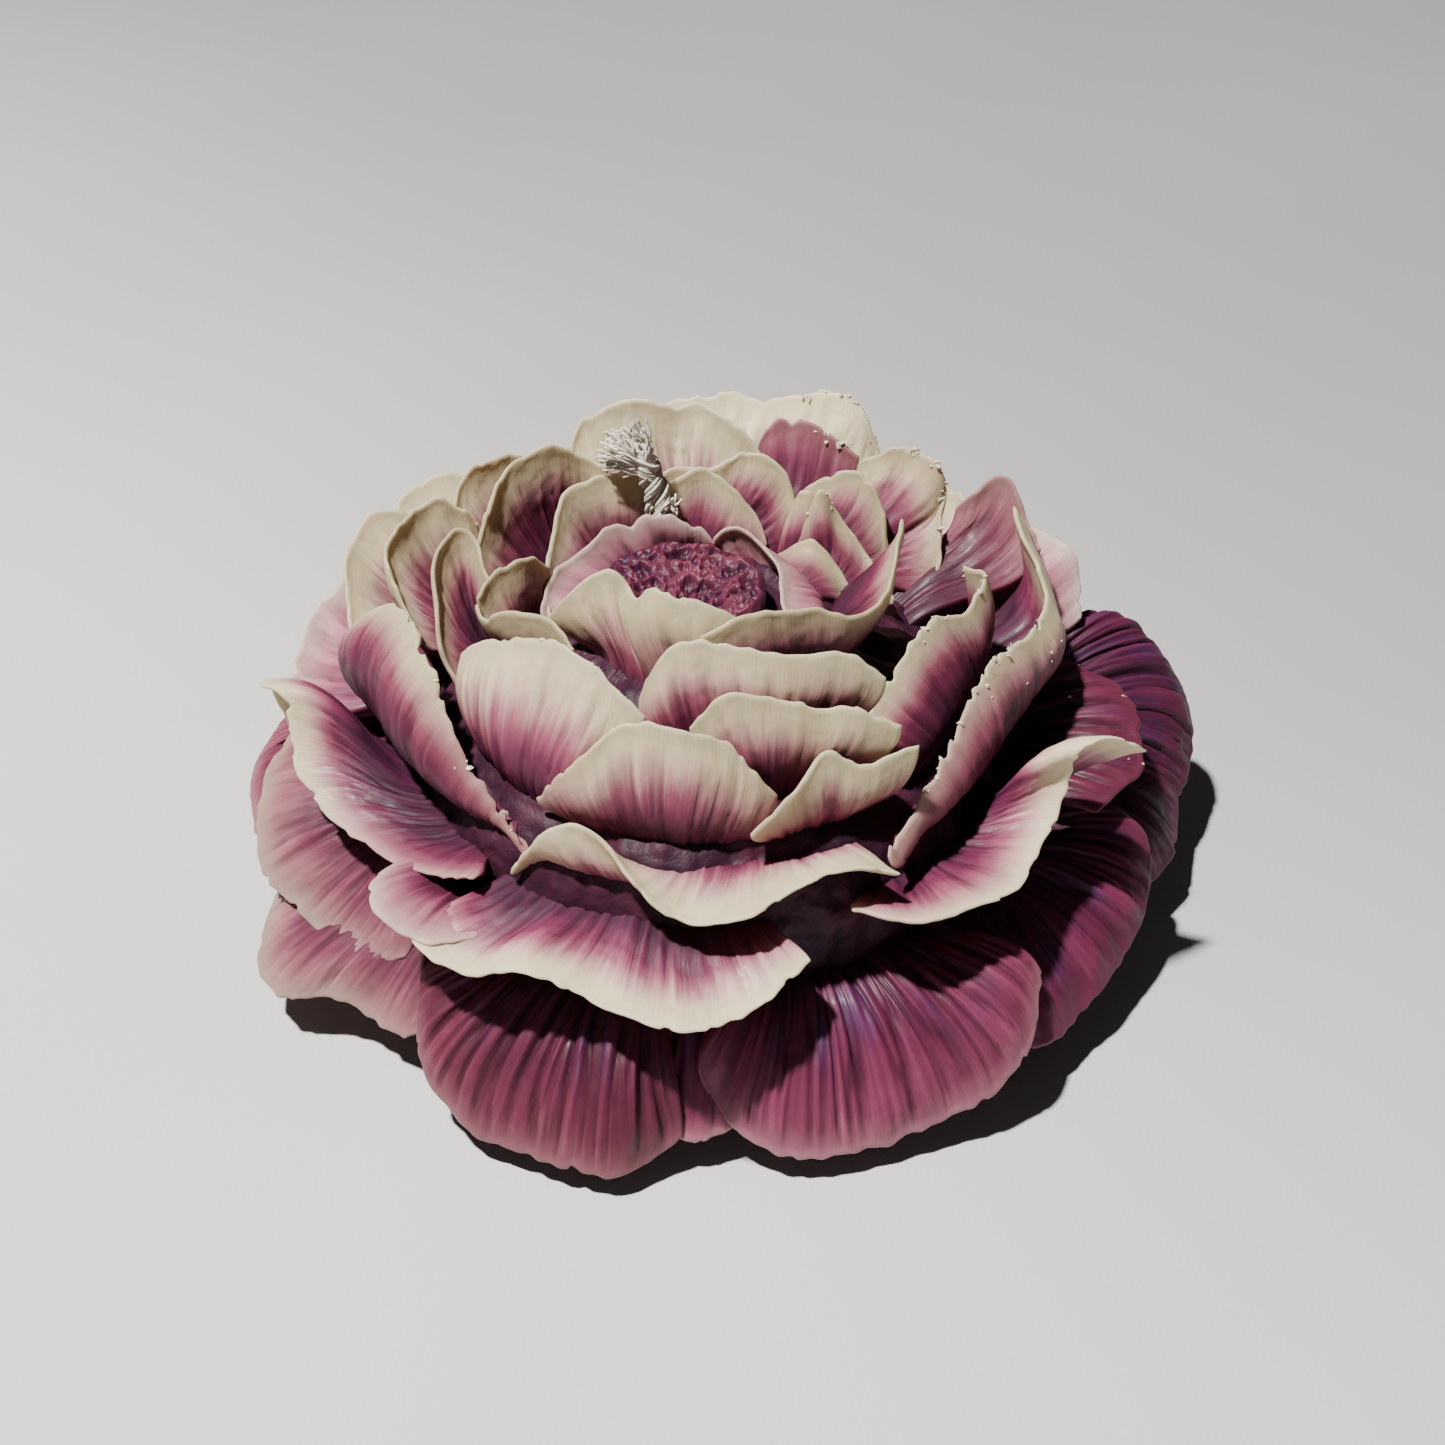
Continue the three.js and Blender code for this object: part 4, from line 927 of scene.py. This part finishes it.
# The wick: plies of fibres that twist round each other up to a knot, with a torn flag over it. Tones
# are how pale a fibre is, and a pair of radii is a fibre's at its start and its end. A swell, jitter,
# unevenness, wave or crumple is noise of a height and a length, and waves and crumples say how many
# of them there are along a strand.
WICK_SEED = 17
WICK_STEP = 0.4
PLIES = 3
PLY_RADIUS = 0.8
PLY_OFFSET = 0.84
PLY_PITCH = 8.0
PLY_SWELL = (0.16, 3.0)
PLY_TONES = (0.75, 1.2)
FIBRES_PER_PLY = 12
FIBRE_SIDES = 6
FIBRE_RADIUS = 0.22
FIBRE_UNEVENNESS = (0.25, 1.6)
FIBRE_PITCH = 5.0
FIBRE_INSET = 0.6
FIBRE_SPREAD = 0.86
FIBRE_JITTER = (0.14, 2.2)
FIBRE_TURN = 2.4
WRAP_STRANDS = 7
WRAP_POINTS = 54
WRAP_RADIUS = 1.3
WRAP_SWELL = (0.16, 1.0)
WRAP_WAVES = 1.5
WRAP_TURN = 2.3 * math.pi
WRAP_STEP = 0.3
WRAP_SLOPE = 0.45
WRAP_TONES = (0.95, 1.4)
FLAG_STRANDS = 260
FLAG_POINTS = 12
FLAG_ANGLES = (98.0, 192.0)
FLAG_LENGTHS = (3.0, 5.6)
FLAG_NARROWING = 0.12
FLAG_RADII = (0.24, 0.12)
FLAG_START = 0.8
FLAG_SHAPE = (1, 1, 0.7)
FLAG_BEND = 0.9
FLAG_WAVE = (0.5, 1.0)
FLAG_WAVES = 3
FLAG_FOLD = 0.55
FLAG_CRUMPLE = (0.75, 1.0)
FLAG_CRUMPLES = 2.2
FLAG_TONES = (0.8, 1.25)
FLAG_PALER = 0.3
TORN_STRANDS = 34
TORN_POINTS = 8
TORN_BELOW_KNOT = 5.6
TORN_SHAPE = (1, 1, 0.4)
TORN_REACHES = (0.9, 1.7)
TORN_RISE = 1.2
TORN_DRIFT = 0.7
TORN_LENGTHS = (0.8, 2.2)
TORN_CURL = 0.3
TORN_RADII = (0.24, 0.1)
TORN_TONES = (1.0, 1.6)


def frames_along(line):
    """Two directions square to a line at each of its points, turned as little as possible."""
    tangent = unit(np.gradient(line, axis=0))
    side = np.zeros_like(line)
    side[0] = unit(np.cross(tangent[0], [0, 1, 0.1]))
    for step in range(1, len(line)):
        side[step] = side[step - 1] - tangent[step] * np.dot(side[step - 1], tangent[step])
        side[step] = unit(side[step])
    return side, np.cross(tangent, side)


def turned(frames, turn):
    """The directions across a line at angles from the first of its frames."""
    side, other = frames
    return side * np.cos(turn)[:, None] + other * np.sin(turn)[:, None]


def tube(line, radii):
    """The points and quads of a closed tube along a line."""
    side, other = frames_along(line)
    turns = np.linspace(0, 2 * math.pi, FIBRE_SIDES, endpoint=False)[None, :, None]
    ring = side[:, None, :] * np.cos(turns) + other[:, None, :] * np.sin(turns)
    points = (line[:, None, :] + ring * np.asarray(radii)[:, None, None]).reshape(-1, 3)
    index = np.arange(len(points)).reshape(len(line), FIBRE_SIDES)
    ends = []
    for row in (index[0], index[-1][::-1]):
        for first in range(1, FIBRE_SIDES - 2, 2):
            ends.append([row[0], row[first + 2], row[first + 1], row[first]])
    return points, np.vstack([ring_quads(index), ends])


def join_tubes(name, tubes):
    """One mesh of many tubes, each given with how pale it is."""
    points = []
    quads = []
    tones = []
    count = 0
    for (tube_points, tube_quads), tone in tubes:
        points.append(tube_points)
        quads.append(tube_quads + count)
        tones.append(np.full(len(tube_points), tone))
        count += len(tube_points)
    piece = mesh_of(name, np.vstack(points), np.vstack(quads))
    set_values(piece, "tone", np.concatenate(tones))
    return piece


def wick_line():
    foot = np.array(WICK_FOOT)
    seat = np.array([*WICK_FOOT[:2], WICK_SEAT])
    bend = np.array([*WICK_FOOT[:2], WICK_UPRIGHT])
    line, run = spline([foot, seat, bend, bend + np.array(WICK_LEAN)])
    places = np.arange(0, run[-1], WICK_STEP)
    return along_line(line, run, places), places


def ply_tubes(random, line, places):
    """The fibres of the twisted shaft."""
    frames = frames_along(line)
    swell = 1 + line_noise(PLY_SWELL, places, WICK_SEED + 3, 0.4)
    for ply in range(PLIES):
        turn = 2 * math.pi * (ply / PLIES + places / PLY_PITCH)
        ply_line = line + turned(frames, turn) * (PLY_OFFSET * swell)[:, None]
        ply_frames = frames_along(ply_line)
        for fibre in range(FIBRES_PER_PLY):
            seed = WICK_SEED + 10 * ply + fibre
            out = PLY_RADIUS * math.sqrt((fibre + FIBRE_INSET) / FIBRES_PER_PLY) * FIBRE_SPREAD
            out = (out + line_noise(FIBRE_JITTER, places, seed, 0.5)) * swell
            spin = FIBRE_TURN * fibre + 2 * math.pi * places / FIBRE_PITCH
            strand = ply_line + turned(ply_frames, spin) * out[:, None]
            radii = FIBRE_RADIUS * (1 + line_noise(FIBRE_UNEVENNESS, places, seed, 0.2))
            yield tube(strand, radii), random.uniform(*PLY_TONES)


def wrap_tubes(random, line):
    """The strand that is wound round the knot, rising to the left."""
    turn = np.linspace(0, WRAP_TURN, WRAP_POINTS)
    radii = np.full(WRAP_POINTS, FIBRE_RADIUS)
    for strand in range(WRAP_STRANDS):
        out = WRAP_RADIUS + line_noise(WRAP_SWELL, WRAP_WAVES * turn, WICK_SEED + 7, strand + 0.5)
        rise = WRAP_STEP * (strand - WRAP_STRANDS / 2) - WRAP_SLOPE * out * np.cos(turn)
        hoop = np.column_stack([out * np.cos(turn), out * np.sin(turn), rise])
        yield tube(line[-1] + hoop, radii), random.uniform(*WRAP_TONES)


def flag_tubes(random, knot):
    """Torn fibres that fan out from the knot like a small flag, crumpled across."""
    share = np.linspace(0, 1, FLAG_POINTS)
    radii = np.linspace(*FLAG_RADII, FLAG_POINTS)
    for _ in range(FLAG_STRANDS):
        spot = random.uniform()
        angle = math.radians(between(FLAG_ANGLES, spot))
        length = random.uniform(*FLAG_LENGTHS) * (1 - FLAG_NARROWING * abs(spot - 0.5))
        out = np.array([math.cos(angle), 0, math.sin(angle)])
        across = np.array([-out[2], 0, out[0]])
        bend = random.uniform(-FLAG_BEND, FLAG_BEND) * share**2
        bend = bend + line_noise(FLAG_WAVE, FLAG_WAVES * share, WICK_SEED + 5, 9 * spot)
        places = FLAG_CRUMPLES * share + 1
        fold = line_noise(FLAG_CRUMPLE, places, WICK_SEED + 6, 11 * spot) * share
        fold = fold + random.uniform(-FLAG_FOLD, FLAG_FOLD) * (0.3 + share)
        start = knot + random.uniform(-FLAG_START, FLAG_START, 3) * FLAG_SHAPE
        strand = start + length * share[:, None] * out + bend[:, None] * across
        strand[:, 1] += fold
        yield tube(strand, radii), random.uniform(*FLAG_TONES) + FLAG_PALER * spot


def torn_tubes(random, middle):
    """Short torn ends that stick out where the shaft leaves the wax."""
    share = np.linspace(-0.5, 0.5, TORN_POINTS)[:, None]
    radii = np.linspace(*TORN_RADII, TORN_POINTS)
    for _ in range(TORN_STRANDS):
        away = unit(random.normal(size=3) * TORN_SHAPE)
        start = middle + away * random.uniform(*TORN_REACHES)
        start[2] += random.uniform(-TORN_RISE, TORN_RISE)
        drift = unit(TORN_DRIFT * away + TORN_DRIFT * unit(random.normal(size=3)))
        length = random.uniform(*TORN_LENGTHS)
        curl = unit(np.cross(drift, random.normal(size=3)))
        strand = start + drift * length * share + curl * length * TORN_CURL * np.cos(3 * share)
        yield tube(strand, radii), random.uniform(*TORN_TONES)


def make_wick(material):
    random = np.random.default_rng(WICK_SEED)
    line, places = wick_line()
    torn_at = line[int(np.searchsorted(places, places[-1] - TORN_BELOW_KNOT))]
    tubes = [*ply_tubes(random, line, places), *wrap_tubes(random, line)]
    tubes += [*flag_tubes(random, line[-1]), *torn_tubes(random, torn_at)]
    finish_piece(join_tubes("cotton_wick", tubes), material, "wick_cotton", "wick")


# Wax crumbs left on some petals: petal, share along the rim from and to, how many, rows they spread
CRUMBS = (
    ("outer_petal_right", 0.15, 0.7, 26, 5),
    ("outer_petal_right", 0.55, 0.72, 16, 22),
    ("crown_petal_back", 0.6, 1.0, 34, 4),
    ("blush_petal_back", 0.3, 0.9, 16, 5),
    ("blush_petal_back", 0.1, 0.6, 8, 24),
    ("outer_petal_left", 0.5, 0.95, 16, 5),
    ("mid_petal_back_right", 0.2, 0.8, 26, 4),
    ("mid_petal_right", 0.4, 1.0, 16, 5),
    ("blade_petal_right", 0.1, 0.9, 8, 6),
    ("bowl_petal_left", 0.3, 0.9, 8, 3),
    ("skirt_petal_right", 0.2, 0.9, 6, 12),
)
CRUMB_SEED = 23
CRUMB_RADII = (0.1, 0.36)
CRUMB_STRAY = 0.06
CRUMB_FLATNESS = (0.4, 1.7)
CRUMB_ROUGHNESS = (0.55, 1.4)


def make_crumbs(material):
    random = np.random.default_rng(CRUMB_SEED)
    numbered = {petal[0]: (petal, index) for index, petal in enumerate(PETALS)}
    shape = bmesh.new()
    for name, first, last, count, spread in CRUMBS:
        petal, index = numbered[name]
        faces = petal_faces(petal, petal_seed(index))[0]
        columns = faces[0].shape[1]
        for _ in range(count):
            column = int(between((first, last), random.uniform()) * (columns - 1))
            down = min(int(abs(random.normal()) * spread), ROWS // 2)
            face = faces[int(random.integers(0, 2))]
            point = face[ROWS - 1 - down, column] + random.normal(size=3) * CRUMB_STRAY
            radius = between(CRUMB_RADII, random.uniform() ** 2)
            made = bmesh.ops.create_icosphere(shape, subdivisions=1, radius=radius * MM)
            flake = Vector(random.uniform(*CRUMB_FLATNESS, 3))
            for vert in made["verts"]:
                vert.co = vert.co * flake * random.uniform(*CRUMB_ROUGHNESS) + Vector(point * MM)
    mesh = bpy.data.meshes.new("wax_rim_crumbs")
    shape.to_mesh(mesh)
    shape.free()
    finish_piece(add_object("wax_rim_crumbs", mesh), material, "wax_cream")


# A creased skin of wax over the core: the height of its foot, its lift, how far it reaches into the
# core, its noises, the radius at which they are as long as they say, and how far from its foot and
# from its top it has its full lift
SKIN_FOOT = 6.0
SKIN_SEED = 61
SKIN_STEP = 0.3
SKIN_COLUMNS = 620
SKIN_LIFT = (0.15, 1.5)
SKIN_DEPTH = 0.4
SKIN_CREASES = ((1.0, 1.5, 12), (0.5, 0.7, 5))
SKIN_LUMPS = (1.0, 5, 4)
SKIN_CREASE_SHARE = 0.1
SKIN_LUMP_SHARE = 0.4
SKIN_RADIUS = 30.0
SKIN_FADES = (3, 2)


def make_skin(material):
    """The skin of wax that shows between the petals."""
    rings = [flower_place(*tier[:2]) for tier in TIERS.values()]
    seat = flower_place(*SEAT_SHARES)
    outline = np.array([(rings[0][0], SKIN_FOOT), *rings, seat, (HEART_RADIUS, seat[1])])
    run = length_run(outline)
    places = np.arange(0, run[-1], SKIN_STEP)
    side = along_line(outline, run, places)
    along = unit(np.gradient(side, axis=0))
    normal = np.column_stack([along[:, 1], -along[:, 0]])
    turns = np.linspace(0, 2 * math.pi, SKIN_COLUMNS, endpoint=False)
    place, turn = np.meshgrid(places, turns, indexing="ij")
    girth = turn * SKIN_RADIUS
    crease = 0.0
    for number, noise in enumerate(SKIN_CREASES):
        crease = crease + sheet_noise(noise, girth, place, SKIN_SEED + number)
    lump = sheet_noise(SKIN_LUMPS, girth, place, SKIN_SEED + 2, 3)
    share = np.clip(0.5 + SKIN_CREASE_SHARE * crease + SKIN_LUMP_SHARE * lump, 0, 1)
    ending = smooth_step(place, places[-1] - SKIN_FADES[1], places[-1])
    lift = between(SKIN_LIFT, share) * smooth_step(place, 0, SKIN_FADES[0]) * (1 - ending)
    faces = []
    for offset in (lift, np.full_like(lift, -SKIN_DEPTH)):
        radius = side[:, :1] + normal[:, :1] * offset
        height = side[:, 1:] + normal[:, 1:] * offset
        faces.append(np.stack([radius * np.cos(turn), radius * np.sin(turn), height], axis=-1))
    points = np.concatenate([faces[0], faces[1][::-1]]).reshape(-1, 3)
    index = np.arange(len(points)).reshape(2 * len(places), -1)
    piece = mesh_of("wax_core_skin", points, ring_quads(np.vstack([index, index[:1]])))
    set_values(piece, "relief", np.concatenate([crease, crease]))
    finish_piece(piece, material, "wax_core")


def dress_solids(core):
    """The core and the tab keep their own solids, with better materials."""
    for name, material in (("wax_core", core), ("wick_tab", steel_material())):
        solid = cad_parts[name]
        solid.data.materials.clear()
        solid.data.materials.append(material)


# The camera stands where the photograph was taken from
IMAGE_SIDE = 1445.0
FOCAL_PIXELS = 1985.0
SENSOR = 36.0
VIEW_ELEVATION = 38.0
VIEW_DISTANCE = 230.0
ANCHOR = (0.0, 0.0, 15.0)
ANCHOR_PIXEL = (707.0, 790.0)
NEAR_CLIP = 0.01


def make_camera():
    rise = math.radians(VIEW_ELEVATION)
    forward = Vector((0, math.cos(rise), -math.sin(rise)))
    upward = Vector((0, math.sin(rise), math.cos(rise)))
    scale = VIEW_DISTANCE / FOCAL_PIXELS
    middle = IMAGE_SIDE / 2
    aim = Vector(ANCHOR) + Vector((1, 0, 0)) * (middle - ANCHOR_PIXEL[0]) * scale
    aim += upward * (ANCHOR_PIXEL[1] - middle) * scale
    data = bpy.data.cameras.new("camera")
    data.sensor_width = SENSOR
    data.lens = SENSOR * FOCAL_PIXELS / IMAGE_SIDE
    data.clip_start = NEAR_CLIP
    camera = add_object("camera", data)
    camera.location = (aim - forward * VIEW_DISTANCE) * MM
    camera.rotation_euler = (math.radians(90) - rise, 0, 0)
    bpy.context.scene.camera = camera


# Lights: name, direction from the flower, distance and size in metres, power in watts, colour
LIGHTS = (
    ("key", (-0.33, -0.12, 1.0), 0.9, 0.05, 24.0, (1.0, 0.97, 0.92)),
    ("fill", (0.0, -1.0, 0.3), 1.0, 0.6, 0.35, (1.0, 0.92, 0.82)),
)
FLOOR_HALF = 1.6
WORLD_COLOUR = (0.92, 0.89, 0.9, 1)
WORLD_STRENGTH = 0.04


def make_lights():
    for name, direction, distance, size, power, colour in LIGHTS:
        data = bpy.data.lights.new(name, "AREA")
        data.shape = "DISK"
        data.size = size
        data.energy = power
        data.color = colour
        light = add_object(name, data)
        towards = Vector(direction).normalized()
        light.location = towards * distance
        light.rotation_euler = (-towards).to_track_quat("-Z", "Y").to_euler()
    world = bpy.data.worlds.new("studio")
    world.use_nodes = True
    background = world.node_tree.nodes["Background"]
    background.inputs["Color"].default_value = WORLD_COLOUR
    background.inputs["Strength"].default_value = WORLD_STRENGTH
    bpy.context.scene.world = world


def make_floor():
    mesh = bpy.data.meshes.new("floor")
    signs = ((-1, -1), (1, -1), (1, 1), (-1, 1))
    mesh.from_pydata([(x * FLOOR_HALF, y * FLOOR_HALF, 0) for x, y in signs], [], [(0, 1, 2, 3)])
    mesh.materials.append(floor_material())
    add_object("floor", mesh)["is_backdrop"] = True


def make_candle():
    core = core_material()
    dress_solids(core)
    make_skin(core)
    waxes = {look: wax_material(look) for look in GRAINS}
    for index, petal in enumerate(PETALS):
        make_petal(petal, index, waxes[petal[1]])
    make_heart(heart_material())
    make_wick(cotton_material())
    make_crumbs(crumb_material())


make_camera()
make_lights()
make_floor()
make_candle()
boxes = {"cad": cad_box, "visual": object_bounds()}
{key: [list(corner) for corner in box] for key, box in boxes.items()}
